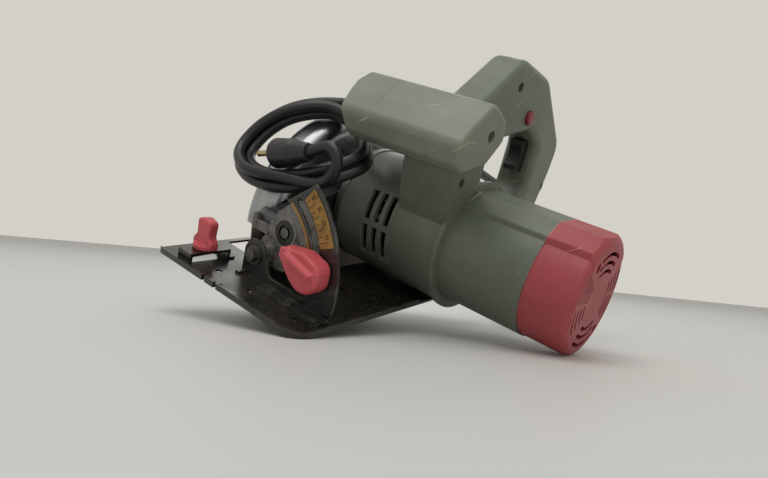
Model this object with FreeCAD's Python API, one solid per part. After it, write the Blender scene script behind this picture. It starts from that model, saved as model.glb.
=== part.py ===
import FreeCAD, Part
import math
import os
from FreeCAD import Matrix, Placement, Rotation, Vector

# Hand-held circular saw lying at rest on a table: it leans on its motor cap, on the
# closed lower guard and on one corner of the sole. Everything is first built in the
# working frame: X forward along the cut, Y from the blade towards the motor, Z up from
# the sole, with the blade plane at y = 0. The last step turns it to the resting pose.
# All sizes are millimetres and degrees.

# blade, gears and motor axis
blade_radius = 92.5
blade_thickness = 2.2
blade_bore_radius = 10.0
blade_teeth = 24
gullet_depth = 8.0
depth_of_cut = 65.0
gear_module = 1.25
pinion_teeth = 10
gear_teeth = 34
spindle_z = blade_radius - depth_of_cut
motor_z = spindle_z + gear_module * (pinion_teeth + gear_teeth) / 2

# clearances
running_fit = 0.04
free_gap = 0.3
seam_gap = 0.2

# shafts, bearings and flanges
spindle_radius = 8.5
spindle_nose_radius = 7.0
spindle_tail_radius = 6.0
bolt_radius = 4.0
inner_flange_radius = 20.0
outer_flange_radius = 18.0
flange_thickness = 3.0
armature_shaft_radius = 6.0
armature_tail_radius = 4.5
front_bearing_radius = 16.0
tail_bearing_radius = 13.0

# guards
guard_radius = 103.0
guard_wall = 2.0
guard_corner = 13.0
guard_left_y = -16.0
guard_right_y = 19.0
guard_window_radius = 52.0
lower_guard_radius = 98.0
lower_guard_wall = 1.5
lower_guard_corner = 8.0
lower_guard_half_width = 12.0
nose_radius = 20.0

# gear housing and bearing plate
gear_case_radius = 50.0
gear_case_wall = 2.5
gear_case_y = 40.0
bearing_plate_radius = 52.0
bearing_plate_y = 45.0

# motor housing
front_shell_radius = 51.0
front_shell_end_radius = 52.6
step_radius = 55.0
step_y = 149.0
step_width = 3.0
rear_shell_radius = 47.0
shell_wall = 3.0
cap_y = 219.0
cap_radius = 46.0
cap_end_y = 257.0
cap_corner = 6.0
cap_wall = 3.0
roof_half_width = 32.0
roof_height = 38.5
roof_top_half_width = 16.0
roof_top_height = 48.0
vent_columns = (76.0, 86.0, 96.0)
vent_columns_back = (58.0, 68.0, 78.0)
vent_rows = ((-32.0, -3.0), (2.0, 30.0))
vent_width = 6.2

# front grip
grip_left_y = 40.0
grip_right_y = 160.0
grip_seam_y = 74.0
grip_slant = 17.0
neck_left_y = 102.6
neck_right_y = 149.0
neck_back_x = 17.3
neck_front_x = 58.0

# rear D-handle
handle_mid_y = 105.0
handle_half_width = 18.0
handle_wall = 3.5
handle_round = 8.0
screw_hole_radius = 4.2

# sole, bevel and depth hinges
sole_back_x = -110.0
sole_front_x = 170.0
sole_left_y = -31.0
sole_right_y = 133.0
sole_thickness = 2.0
sole_corner = 14.0
lip_height = 4.5
slot_left_y = -26.0
slot_right_y = 25.0
slot_half_length = 105.0
notch_half_length = 55.0
notch_right_y = 52.0
bevel_y = 41.5
bevel_z = 20.2
bevel_max = 45.0
quadrant_x = 131.0
quadrant_thickness = 2.0
quadrant_outer = 86.0
quadrant_inner = 57.0
scale_start = 25.0
scale_end = 56.0
bevel_slot_radius = 65.5
stud_radius = 3.0
stud_angle = 12.0
depth_x = 108.0
depth_z = 42.0
depth_max = 30.0
depth_pin_radius = 4.0
depth_arc_radius = 200.0
depth_arc_width = 12.0
lock_bolt_radius = 2.9

# cord
cord_radius = 4.7
coil_radius = 9.3
relief_length = 42.0
relief_neck_radius = 5.7
relief_seat = 13.0
plug_pin_pitch = 13.0
plug_pin_radius = 2.4

parts = {}


def keep(name, *solids):
    parts[name] = list(solids)


# ---------------------------------------------------------------- basic shapes
def box(x0, x1, y0, y1, z0, z1):
    return Part.makeBox(x1 - x0, y1 - y0, z1 - z0, Vector(x0, y0, z0))


def rod_x(y, z, radius, x0, x1):
    return Part.makeCylinder(radius, x1 - x0, Vector(x0, y, z), Vector(1, 0, 0))


def rod_y(x, z, radius, y0, y1):
    return Part.makeCylinder(radius, y1 - y0, Vector(x, y0, z), Vector(0, 1, 0))


def rod_z(x, y, radius, z0, z1):
    return Part.makeCylinder(radius, z1 - z0, Vector(x, y, z0), Vector(0, 0, 1))


def ring_x(y, z, outer, inner, x0, x1):
    return rod_x(y, z, outer, x0, x1).cut(rod_x(y, z, inner, x0 - 1, x1 + 1))


def ring_y(x, z, outer, inner, y0, y1):
    return rod_y(x, z, outer, y0, y1).cut(rod_y(x, z, inner, y0 - 1, y1 + 1))


def joined(first, *others):
    whole = first
    for other in others:
        whole = whole.fuse(other)
    return whole.removeSplitter()


def without(shape, *tools):
    for tool in tools:
        shape = shape.cut(tool)
    return shape


def outline(corners, place):
    """Closed wire through (a, b, radius) corners, each rounded by its own radius."""
    flat = [Vector(a, b, 0) for a, b, radius in corners]
    spans = []
    for i, (a, b, radius) in enumerate(corners):
        to_last = (flat[i - 1] - flat[i]).normalize()
        to_next = (flat[(i + 1) % len(flat)] - flat[i]).normalize()
        if radius == 0:
            spans.append((flat[i], None, flat[i]))
            continue
        half_turn = to_last.getAngle(to_next) / 2
        reach = radius / math.tan(half_turn)
        inward = (to_last + to_next).normalize()
        middle = flat[i] + inward * (radius / math.sin(half_turn) - radius)
        spans.append((flat[i] + to_last * reach, middle, flat[i] + to_next * reach))
    edges = []
    for i, (start, middle, end) in enumerate(spans):
        if middle is not None:
            arc = Part.Arc(place(start.x, start.y), place(middle.x, middle.y), place(end.x, end.y))
            edges.append(arc.toShape())
        following = spans[(i + 1) % len(spans)][0]
        if (following - end).Length > 1e-6:
            line = Part.LineSegment(place(end.x, end.y), place(following.x, following.y))
            edges.append(line.toShape())
    return Part.Wire(edges)


def plate_x(corners, x0, x1):
    face = Part.Face(outline(corners, lambda y, z: Vector(x0, y, z)))
    return face.extrude(Vector(x1 - x0, 0, 0))


def plate_y(corners, y0, y1):
    face = Part.Face(outline(corners, lambda x, z: Vector(x, y0, z)))
    return face.extrude(Vector(0, y1 - y0, 0))


def plate_z(corners, z0, z1):
    face = Part.Face(outline(corners, lambda x, y: Vector(x, y, z0)))
    return face.extrude(Vector(0, 0, z1 - z0))


def turned(corners, axis_z, start, end):
    """Profile of (y, radius, rounding) corners turned about the Y axis at z = axis_z.
    Angles run from +X towards +Z."""
    face = Part.Face(outline(corners, lambda y, r: Vector(r, y, axis_z)))
    centre = Vector(0, 0, axis_z)
    if end - start < 360:
        face.rotate(centre, Vector(0, -1, 0), start)
    return face.revolve(centre, Vector(0, -1, 0), end - start)


def sector_y(inner, outer, y0, y1, axis_z, start, end):
    corners = [(y0, inner, 0), (y0, outer, 0), (y1, outer, 0), (y1, inner, 0)]
    return turned(corners, axis_z, start, end)


def polar(radius, angle, y=0.0, z=0.0):
    turn = math.radians(angle)
    return y + radius * math.cos(turn), z + radius * math.sin(turn)


def arc_band(at, inner, outer, start, end):
    """Flat arc band; at(radius, angle) gives the points of its plane."""
    middle = (start + end) / 2
    edges = [
        Part.Arc(at(outer, start), at(outer, middle), at(outer, end)).toShape(),
        Part.LineSegment(at(outer, end), at(inner, end)).toShape(),
        Part.Arc(at(inner, end), at(inner, middle), at(inner, start)).toShape(),
        Part.LineSegment(at(inner, start), at(outer, start)).toShape(),
    ]
    return Part.Face(Part.Wire(edges))


def arc_plate_x(y, z, inner, outer, x0, x1, start, end):
    """Arc plate about the X direction; angles run from +Y towards +Z."""
    def at(radius, angle):
        return Vector(x0, *polar(radius, angle, y, z))

    return arc_band(at, inner, outer, start, end).extrude(Vector(x1 - x0, 0, 0))


def arc_plate_y(x, z, inner, outer, y0, y1, start, end):
    """Arc plate about the Y direction; angles run from +X towards +Z."""
    def at(radius, angle):
        across, up = polar(radius, angle, x, z)
        return Vector(across, y0, up)

    return arc_band(at, inner, outer, start, end).extrude(Vector(0, y1 - y0, 0))


def gear(x, z, teeth, y0, y1, phase):
    """Spur gear with straight-sided teeth, slightly narrowed so that a pair turns freely."""
    pitch = gear_module * teeth / 2
    root = pitch - 1.15 * gear_module
    tip = pitch + 0.85 * gear_module
    step = 2 * math.pi / teeth
    points = []
    for i in range(teeth):
        for radius, share in ((root, -0.30), (tip, -0.12), (tip, 0.12), (root, 0.30)):
            angle = phase + (i + share) * step
            points.append(Vector(x + radius * math.cos(angle), y0, z + radius * math.sin(angle)))
    face = Part.Face(Part.makePolygon(points + points[:1]))
    return face.extrude(Vector(0, y1 - y0, 0))


def hexagon_x(y, z, across, x0, x1):
    radius = across / math.sqrt(3)
    corners = []
    for i in range(6):
        angle = math.radians(60 * i)
        corners.append((y + radius * math.cos(angle), z + radius * math.sin(angle), 0))
    return plate_x(corners, x0, x1)


def screw_y(x, z, radius, head_radius, y_tip, y_head, head_height):
    """Screw along Y with its head towards +Y and a slot across the head."""
    body = joined(rod_y(x, z, radius, y_tip, y_head), rod_y(x, z, head_radius, y_head, y_head + head_height))
    top = y_head + head_height
    return body.cut(box(x - head_radius, x + head_radius, top - 1, top + 1, z - 0.5, z + 0.5))


# ---------------------------------------------------------------- blade and spindle
gear_y0 = 21.5
gear_y1 = 31.0
flange_face = blade_thickness / 2


def make_blade():
    points = []
    step = 2 * math.pi / blade_teeth
    for i in range(blade_teeth):
        for radius, share in ((blade_radius, 0), (blade_radius - 2.5, 0.16),
                              (blade_radius - gullet_depth, 0.72), (blade_radius - gullet_depth, 0.92)):
            angle = (i + share) * step
            x, z = radius * math.cos(angle), spindle_z + radius * math.sin(angle)
            points.append(Vector(x, -flange_face, z))
    disc = Part.Face(Part.makePolygon(points + points[:1])).extrude(Vector(0, blade_thickness, 0))
    disc = disc.cut(rod_y(0, spindle_z, blade_bore_radius, -5, 5))
    for i in range(4):
        slit_x = blade_radius - 28
        slit = box(slit_x, blade_radius - gullet_depth + 1, -5, 5, spindle_z - 0.5, spindle_z + 0.5)
        eye = rod_y(slit_x, spindle_z, 2.5, -5, 5)
        for cutter in (slit, eye):
            cutter.rotate(Vector(0, 0, spindle_z), Vector(0, 1, 0), 90 * i + 7)
            disc = disc.cut(cutter)
    return disc


def make_spindle_group():
    boss_y = -flange_face + 0.3
    keep("blade", make_blade())
    inner = joined(
        rod_y(0, spindle_z, inner_flange_radius, flange_face, flange_face + flange_thickness),
        rod_y(0, spindle_z, blade_bore_radius - running_fit, boss_y, flange_face + 0.5))
    outer = rod_y(0, spindle_z, outer_flange_radius, -flange_face - flange_thickness, -flange_face)
    keep("blade_flanges",
         inner.cut(rod_y(0, spindle_z, spindle_nose_radius, -5, 10)),
         outer.cut(rod_y(0, spindle_z, bolt_radius, -20, 10)))
    head_y = -flange_face - flange_thickness
    bolt = joined(rod_y(0, spindle_z, 7.0, head_y - 5, head_y), rod_y(0, spindle_z, bolt_radius, head_y, 18))
    socket = []
    for i in range(6):
        a, b = polar(3.5, 60 * i, 0, spindle_z)
        socket.append((a, b, 0))
    keep("blade_bolt", bolt.cut(plate_y(socket, head_y - 6, head_y - 1.5)))
    shoulder = flange_face + flange_thickness
    spindle = joined(
        rod_y(0, spindle_z, spindle_nose_radius, boss_y, shoulder),
        rod_y(0, spindle_z, spindle_radius, shoulder, gear_y1),
        rod_y(0, spindle_z, spindle_tail_radius, gear_y1, 42.5))
    keep("output_spindle", spindle.cut(rod_y(0, spindle_z, bolt_radius, -5, 20)))
    phase = math.pi / 2
    wheel = gear(0, spindle_z, gear_teeth, gear_y0, gear_y1, phase)
    keep("drive_gear", wheel.cut(rod_y(0, spindle_z, spindle_radius, 0, 60)))


def make_bearings():
    keep("bearings",
         ring_y(0, spindle_z, front_bearing_radius, spindle_radius + running_fit, 8, 17),
         ring_y(0, spindle_z, 8.5, spindle_tail_radius + running_fit, 35, 43),
         ring_y(0, motor_z, front_bearing_radius, armature_shaft_radius + running_fit, 41.5, 50.5),
         ring_y(0, motor_z, tail_bearing_radius, armature_tail_radius + running_fit, 184, 193))


# ---------------------------------------------------------------- guards
def make_upper_guard():
    r = guard_radius
    profile = [
        (guard_left_y, guard_window_radius, 0), (guard_left_y, r, guard_corner),
        (guard_right_y, r, guard_corner), (guard_right_y, nose_radius, 0),
        (guard_right_y - guard_wall, nose_radius, 0),
        (guard_right_y - guard_wall, r - guard_wall, guard_corner - guard_wall),
        (guard_left_y + guard_wall, r - guard_wall, guard_corner - guard_wall),
        (guard_left_y + guard_wall, guard_window_radius, 0)]
    dome = turned(profile, spindle_z, 0, 180)
    foot = ring_y(0, spindle_z, nose_radius + 6, nose_radius, guard_right_y - guard_wall, guard_right_y)
    guard = joined(dome, foot)
    for x, z in guard_screw_places():
        guard = guard.cut(rod_y(x, z, 2.0, 10, 22))
    keep("upper_guard", guard)


def guard_screw_places():
    return [polar(36.0, angle, 0, spindle_z) for angle in (25, 62, 118, 155)]


def guard_screws():
    screws = []
    for x, z in guard_screw_places():
        head = guard_right_y - guard_wall
        screws.append(joined(rod_y(x, z, 2.0, head, head + 10), rod_y(x, z, 4.0, head - 2.5, head)))
    return screws


def make_lower_guard():
    r = lower_guard_radius
    half = lower_guard_half_width
    wall = lower_guard_wall
    corner = lower_guard_corner
    profile = [
        (-half, 32, 0), (-half, r, corner), (half, r, corner), (half, nose_radius + free_gap, 0),
        (half - wall, nose_radius + free_gap, 0), (half - wall, r - wall, corner - wall),
        (-half + wall, r - wall, corner - wall), (-half + wall, 32, 0)]
    shell = turned(profile, spindle_z, -178, 6)
    hub = ring_y(0, spindle_z, nose_radius + 7, nose_radius + free_gap, half - 3, half)
    keep("lower_guard", joined(shell, hub))
    # lifting lever on the open side, reaching out through the window of the upper guard
    angle = 187.0
    arm_y0 = guard_left_y - 2.6
    arm_y1 = guard_left_y - 0.6
    boss = rod_y(43, spindle_z, 5.0, arm_y0, -half)
    arm = box(38, 70, arm_y0, arm_y1, spindle_z - 5, spindle_z + 5)
    thumb = joined(box(66, 72, arm_y0, arm_y1, spindle_z - 7, spindle_z + 7),
                   rod_y(69, spindle_z, 7, arm_y0, arm_y1))
    lever = joined(boss, arm, thumb)
    lever.rotate(Vector(0, 0, spindle_z), Vector(0, -1, 0), angle)
    keep("guard_lever", lever)
    wire_radius = 0.75
    coils = []
    for i in range(3):
        centre = Vector(0, 12.9 + 1.5 * i, spindle_z)
        coils.append(Part.makeTorus(nose_radius + 1.4, wire_radius, centre, Vector(0, 1, 0)))
    keep("guard_spring", *coils)
    keep("guard_circlip", ring_y(0, spindle_z, nose_radius + 2, nose_radius, 7.4, 8.6))


# ---------------------------------------------------------------- gear housing
def case_outline(y0, y1, inset):
    """Gear case body: round the motor axis and round the spindle axis."""
    body = joined(rod_y(0, motor_z, gear_case_radius - inset, y0, y1),
                  rod_y(0, spindle_z, 25.5 - inset, y0, y1))
    return body


def make_gear_housing():
    front_y = guard_right_y
    body = case_outline(front_y, gear_case_y, 0)
    hollow = case_outline(front_y + gear_case_wall, gear_case_y + 1, gear_case_wall)
    shell = body.cut(hollow)
    for x, z in guard_screw_places():
        shell = shell.fuse(rod_y(x, z, 4.5, front_y, gear_case_y - 0.5).common(body))
    lug = [(gear_case_radius - 12, depth_z - 13, 0), (depth_x - 4, depth_z - 8, 3),
           (depth_x - 4, depth_z + 8, 3), (gear_case_radius - 14, depth_z + 30, 0)]
    lock_x = depth_x - depth_arc_radius
    lug_back = [(-gear_case_radius + 14, depth_z + 26, 0), (lock_x + 4, depth_z + 8, 3),
                (lock_x + 4, depth_z - 8, 3), (-gear_case_radius + 12, depth_z - 10, 0)]
    outside = rod_y(0, motor_z, gear_case_radius - 1, front_y - 1, gear_case_y + 1)
    arms = joined(plate_y(lug, 22, 38), rod_y(depth_x, depth_z, 8, 22, 38),
                  plate_y(lug_back, 22, 38), rod_y(lock_x, depth_z, 8, 22, 38))
    case = shell.fuse(arms.cut(outside))
    case = case.fuse(rod_y(0, spindle_z, nose_radius, 6.6, front_y + gear_case_wall))
    case = without(
        case,
        rod_y(0, spindle_z, front_bearing_radius, 8, 17),
        rod_y(0, spindle_z, spindle_radius + 1.5, 0, 40),
        rod_y(depth_x, depth_z, depth_pin_radius, 10, 60),
        rod_y(lock_x, depth_z, lock_bolt_radius, 10, 60))
    for x, z in guard_screw_places():
        case = case.cut(rod_y(x, z, 2.0, front_y - 5, guard_right_y - guard_wall + 10))
    for x, z in case_screw_places():
        case = case.fuse(rod_y(x, z, 4.5, front_y + 1, gear_case_y).common(body))
        case = case.cut(rod_y(x, z, 2.0, gear_case_y - 12, gear_case_y + 1))
    keep("gear_housing", case.removeSplitter())


def case_screw_places():
    return [polar(gear_case_radius - 5.5, angle, 0, motor_z) for angle in (35, 90, 145, 215, 325)]


def make_bearing_plate():
    disc = rod_y(0, motor_z, bearing_plate_radius, gear_case_y, bearing_plate_y)
    hub = rod_y(0, motor_z, front_bearing_radius + 3, gear_case_y, 52)
    boss = rod_y(0, spindle_z, 11, 34.5, gear_case_y)
    plate = without(
        joined(disc, hub, boss),
        rod_y(0, motor_z, front_bearing_radius, 41.5, 60),
        rod_y(0, motor_z, armature_shaft_radius + 2, 30, 60),
        rod_y(0, spindle_z, 8.5, 30, 43))
    for x, z in case_screw_places():
        plate = plate.cut(rod_y(x, z, 2.0, 30, 60))
    keep("bearing_plate", plate)


def make_housing_screws():
    screws = guard_screws()
    for x, z in case_screw_places():
        screws.append(screw_y(x, z, 2.0, 3.2, gear_case_y - 11, bearing_plate_y, 2.4))
    for x, z in cap_screw_places():
        screws.append(screw_y(x, z, 1.7, 3.3, 203, cap_end_y - 9, 2.4))
    keep("housing_screws", *screws)


# ---------------------------------------------------------------- motor
core_y0 = 104.0
core_y1 = 144.0
core_radius = 25.4
coil_overhang = 5.0


def make_rotor():
    shaft = joined(
        rod_y(0, motor_z, armature_shaft_radius, gear_y1 + 0.5, core_y0),
        rod_y(0, motor_z, 8.0, core_y0, core_y1),
        rod_y(0, motor_z, armature_tail_radius, core_y1, 194))
    phase = -math.pi / 2 + math.pi / pinion_teeth
    teeth = gear(0, motor_z, pinion_teeth, gear_y0, gear_y1 + 1, phase)
    keep("armature_shaft", shaft)
    keep("pinion", teeth.cut(rod_y(0, motor_z, armature_shaft_radius, gear_y1 + 0.5, 60)))
    core = rod_y(0, motor_z, core_radius, core_y0, core_y1)
    for i in range(12):
        angle = 30 * i
        slot = joined(box(core_radius - 9, core_radius - 2, 90, 160, motor_z - 2.2, motor_z + 2.2),
                      box(core_radius - 4, core_radius + 3, 90, 160, motor_z - 0.9, motor_z + 0.9))
        slot.rotate(Vector(0, 0, motor_z), Vector(0, 1, 0), angle)
        core = core.cut(slot)
    keep("armature_core", core.cut(rod_y(0, motor_z, 8.0, 90, 160)))
    keep("armature_windings",
         ring_y(0, motor_z, core_radius - 3, 8.0, core_y1 + 0.2, core_y1 + 9).cut(
             ring_y(0, motor_z, 60, core_radius - 4, core_y1 + 5, core_y1 + 20)),
         ring_y(0, motor_z, core_radius - 3, armature_shaft_radius, core_y0 - 5, core_y0 - 0.2))
    keep("commutator", ring_y(0, motor_z, 14.0, armature_tail_radius, 157, 176))
    hub = ring_y(0, motor_z, 10, armature_shaft_radius, 74, 98)
    disc = ring_y(0, motor_z, 44, 9, 95.5, 98)
    fan = joined(hub, disc)
    for i in range(12):
        vane = box(19, 43, 78, 96, motor_z - 0.9, motor_z + 0.9)
        vane.rotate(Vector(0, 0, motor_z), Vector(0, 1, 0), 30 * i)
        fan = fan.fuse(vane)
    keep("cooling_fan", fan.removeSplitter())


def make_stator():
    inner = core_radius + 0.7
    yoke = ring_y(0, motor_z, 46.5, 36.0, core_y0, core_y1)
    poles = []
    for side in (-1, 1):
        block = box(-15, 15, core_y0, core_y1, motor_z + min(side * 44, 0), motor_z + max(side * 44, 0))
        shoe = block.common(rod_y(0, motor_z, 40, core_y0, core_y1))
        poles.append(shoe)
    core = joined(yoke, *poles).cut(rod_y(0, motor_z, inner, core_y0 - 1, core_y1 + 1))
    keep("field_core", core)
    coils = []
    for y0 in (core_y0 - coil_overhang, core_y1):
        y1 = y0 + coil_overhang
        band = ring_y(0, motor_z, 38, inner + 2, y0, y1)
        band = band.common(box(-20, 20, y0, y1, motor_z - 60, motor_z + 60))
        coils.extend(band.Solids)
    keep("field_coils", *coils)


def make_brushes():
    brushes = []
    holders = []
    for side in (-1, 1):
        inner = 14.0 + running_fit
        x0, x1 = sorted((side * inner, side * 32))
        brushes.append(box(x0, x1, 163, 171, motor_z - 3, motor_z + 3))
        x0, x1 = sorted((side * 17, side * 43.3))
        sleeve = box(x0, x1, 161, 173, motor_z - 5, motor_z + 5)
        x0, x1 = sorted((side * 10, side * 40))
        holders.append(sleeve.cut(box(x0, x1, 163, 171, motor_z - 3, motor_z + 3)))
    keep("carbon_brushes", *brushes)
    keep("brush_holders", *holders)


# ---------------------------------------------------------------- motor housing
def front_cone(extra):
    y0 = bearing_plate_y
    length = step_y - step_width - y0
    return Part.makeCone(front_shell_radius + extra, front_shell_end_radius + extra, length,
                         Vector(0, y0, motor_z), Vector(0, 1, 0))


def front_envelope():
    return front_cone(0).fuse(rod_y(0, motor_z, step_radius, step_y - step_width, step_y + 1))


def vent_cut(side):
    cutters = []
    for row_start, row_end in vent_rows:
        start, end = (row_start, row_end) if side > 0 else (180 - row_end, 180 - row_start)
        for column in (vent_columns if side > 0 else vent_columns_back):
            cutters.append(sector_y(45, 62, column - vent_width / 2, column + vent_width / 2,
                                    motor_z, start, end))
    return cutters


def make_front_housing():
    outside = front_cone(0)
    bead = ring_y(0, motor_z, step_radius, rear_shell_radius - shell_wall, step_y - step_width, step_y)
    shell = joined(outside.cut(front_cone(-shell_wall)), bead)
    for side in (1, -1):
        start, end = (-36, 34) if side > 0 else (146, 216)
        columns = vent_columns if side > 0 else vent_columns_back
        panel = sector_y(48, step_radius + 3, columns[0] - 6, columns[-1] + 6, motor_z, start, end)
        shell = shell.fuse(panel.common(front_cone(0.8)).cut(front_cone(-1)))
        for cutter in vent_cut(side):
            shell = shell.cut(cutter)
    rib_in = 46.5
    for angle in (45, 135, 225, 315):
        rib = box(rib_in, front_shell_radius - 1, core_y0 - 2, core_y1, motor_z - 3, motor_z + 3)
        rib.rotate(Vector(0, 0, motor_z), Vector(0, 1, 0), angle)
        shell = shell.fuse(rib.cut(rod_y(0, motor_z, rib_in, 90, 160)))
    keep("motor_housing_front", shell.removeSplitter())


def roof_prism(y0, y1, inset):
    side = roof_half_width - inset
    eave = motor_z + roof_height - inset
    ridge = motor_z + roof_top_height - inset
    corners = [(-side, motor_z, 0), (-side, eave, 2), (-roof_top_half_width, ridge, 4),
               (roof_top_half_width, ridge, 4), (side, eave, 2), (side, motor_z, 0)]
    return plate_y(corners, y0, y1)


def rear_body(radius, y0, y1, inset):
    return joined(rod_y(0, motor_z, radius - inset, y0, y1), roof_prism(y0, y1, inset))


def make_rear_housing():
    shell = rear_body(rear_shell_radius, step_y, cap_y, 0)
    shell = shell.cut(rear_body(rear_shell_radius, step_y - 1, cap_y + 1, shell_wall))
    web = ring_y(0, motor_z, rear_shell_radius - shell_wall + 0.5, tail_bearing_radius, 187, 190)
    seat = ring_y(0, motor_z, tail_bearing_radius + 2.5, tail_bearing_radius, 184, 193)
    shell = joined(shell, web, seat)
    for x, z in cap_screw_places():
        post = rod_y(x, z, 4.5, 187, cap_y)
        shell = shell.fuse(post).cut(rod_y(x, z, 1.7, 200, cap_y + 1))
    for angle in (45, 135, 225, 315):
        x, z = polar(30, angle, 0, motor_z)
        shell = shell.cut(rod_y(x, z, 6.5, 180, 195))
    keep("motor_housing_rear", shell.removeSplitter())


def cap_screw_places():
    return [polar(35.5, angle, 0, motor_z) for angle in (52, 232)]


def make_end_cap():
    z = motor_z
    roof_limit = cap_radius + 5
    rounded = turned([(cap_y, 0, 0), (cap_y, cap_radius, 0),
                      (cap_end_y, cap_radius, cap_corner), (cap_end_y, 0, 0)], z, 0, 360)
    limit = turned([(cap_y, 0, 0), (cap_y, roof_limit, 0),
                    (cap_end_y, roof_limit, cap_corner + 3), (cap_end_y, 0, 0)], z, 0, 360)
    lid = joined(rounded, roof_prism(cap_y, cap_end_y, 0).common(limit))
    cavity = rear_body(cap_radius, cap_y - 1, cap_end_y - cap_wall, cap_wall)
    lid = lid.cut(cavity.common(rod_y(0, z, cap_radius - 1, cap_y - 1, cap_end_y)))
    for x, zz in cap_screw_places():
        lid = lid.fuse(rod_y(x, zz, 5.6, cap_y, cap_end_y - 1).common(rounded))
        lid = without(lid, rod_y(x, zz, 3.6, cap_end_y - 9, cap_end_y + 1),
                      rod_y(x, zz, 1.8, cap_y - 1, cap_end_y))
    slots = []
    slot_y0 = cap_end_y - 8
    slot_y1 = cap_end_y + 1
    for inner in (21.5, 28.0, 34.5):
        for middle in (90, 270):
            slots.append(sector_y(inner, inner + 3.2, slot_y0, slot_y1, z, middle - 33, middle + 33))
    for inner in (20.0, 25.5, 31.0, 36.5):
        for start, end in ((3, 38), (-34, -3)):
            for turn in (0, 180):
                slots.append(sector_y(inner, inner + 2.6, slot_y0, slot_y1, z, start + turn, end + turn))
    keep_out = [rod_y(x, zz, 5.8, cap_y, cap_end_y + 2) for x, zz in cap_screw_places()]
    for slot in slots:
        lid = lid.cut(without(slot, *keep_out))
    keep("end_cap", lid)


# ---------------------------------------------------------------- front grip
def grip_outline(inset):
    corners = [(44, 172, 8), (21, 160, 6), (18, 145, 8), (36, 126, 14), (67, 119, 6),
               (74, 125, 6), (79, 141, 8), (65, 155, 10)]
    face = Part.Face(outline(corners, lambda x, z: Vector(x, 0, z)))
    if inset:
        face = face.makeOffset2D(-inset)
    return face


def grip_prism(y0, y1, inset=0.0):
    face = grip_outline(inset)
    face.translate(Vector(0, y0, 0))
    return face.extrude(Vector(0, y1 - y0, 0))


def make_front_grip():
    wall = 3.0
    block = grip_prism(grip_left_y, grip_right_y)
    end_edges = [e for e in block.Edges if abs(e.BoundBox.YMin - grip_right_y) < 0.01
                 and abs(e.BoundBox.YMax - grip_right_y) < 0.01]
    block = block.makeFillet(3.5, end_edges)
    top_z = 172.0
    low_z = 119.0
    wedge = [(grip_left_y - 5, low_z - 5, 0), (grip_left_y + grip_slant, low_z - 5, 0),
             (grip_left_y, top_z - 10, 0), (grip_left_y + 6, top_z + 5, 0), (grip_left_y - 5, top_z + 5, 0)]
    block = block.cut(plate_x(wedge, 0, 100))
    hollow = grip_prism(grip_left_y + grip_slant + wall, grip_right_y - wall, wall)
    block = block.cut(hollow)
    left = block.common(box(0, 100, 0, grip_seam_y - seam_gap / 2, 100, 200))
    right = block.common(box(0, 100, grip_seam_y + seam_gap / 2, 200, 100, 200))
    neck_corners = [(neck_back_x, 90, 0), (neck_back_x, 140, 0), (neck_front_x + 1, 140, 0),
                    (neck_front_x, 112, 8), (neck_front_x - 6, 84, 10), (neck_front_x - 12, 70, 0)]
    neck = plate_y(neck_corners, neck_left_y, neck_right_y)
    neck = without(neck, front_envelope(), grip_prism(grip_left_y, grip_right_y))
    neck = solid_with_most(neck)
    inside = box(neck_back_x + 4, neck_front_x - 6, neck_left_y + 4, neck_right_y - 4, 100, 140)
    neck = neck.cut(inside)
    mid = (neck_left_y + neck_right_y) / 2
    neck_left = neck.common(box(0, 100, 0, mid - seam_gap / 2, 50, 200))
    neck_right = neck.common(box(0, 100, mid + seam_gap / 2, 200, 50, 200))
    hole_x, hole_z = 40.0, 148.0
    right = right.fuse(rod_y(hole_x, hole_z, 7, grip_right_y - 14, grip_right_y - 1))
    right = without(right, rod_y(hole_x, hole_z, 4.5, grip_right_y - 11, grip_right_y + 1),
                    rod_y(hole_x, hole_z, 2.2, 70, 170))
    left = left.fuse(rod_y(hole_x, hole_z, 6, 60, grip_seam_y - seam_gap / 2).common(grip_prism(40, 160)))
    left = left.cut(rod_y(hole_x, hole_z, 2.0, 62, 80))
    neck_screw_z = 110.0
    neck_screw_x = 44.0
    neck_right = neck_right.fuse(rod_y(neck_screw_x, neck_screw_z, 6.0, mid + seam_gap / 2, neck_right_y - 2))
    neck_left = neck_left.fuse(rod_y(neck_screw_x, neck_screw_z, 5.0, neck_left_y + 2, mid - seam_gap / 2))
    neck_right = without(neck_right, rod_y(neck_screw_x, neck_screw_z, 3.6, neck_right_y - 8, neck_right_y + 1),
                         rod_y(neck_screw_x, neck_screw_z, 2.0, 90, 160))
    neck_left = neck_left.cut(rod_y(neck_screw_x, neck_screw_z, 2.0, 106, 140))
    keep("front_grip_end", left)
    keep("front_grip", right)
    keep("grip_neck", neck_left, neck_right)
    return [screw_y(hole_x, hole_z, 2.0, 4.0, 63, grip_right_y - 11, 3),
            screw_y(neck_screw_x, neck_screw_z, 2.0, 3.4, 107, neck_right_y - 8, 2.6)]


def solid_with_most(shape):
    return max(shape.Solids, key=lambda solid: solid.Volume)


# ---------------------------------------------------------------- rear handle
handle_corners = [
    (neck_back_x - 0.3, 128, 5), (neck_back_x - 0.3, 158, 6), (-8, 171, 22), (-59, 210, 20),
    (-115, 199.5, 24), (-183, 140, 24), (-180, 110, 60), (-170, 70, 34), (-146, 38, 24),
    (-100, 28, 12), (-20, 28, 0), (-20, 68, 0), (-108, 68, 14), (-130, 90, 16),
    (-130, 136, 10), (-106, 150, 14), (-30, 134, 30)]
switch_face_x = -144.0
trigger_z0 = 108.0
trigger_z1 = 138.0


def handle_face(inset):
    face = Part.Face(outline(handle_corners, lambda x, z: Vector(x, 0, z)))
    if inset:
        face = face.makeOffset2D(-inset)
    return face


def handle_screw_places():
    return [(-58, 186), (-169, 94), (-90, 46)]


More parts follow.
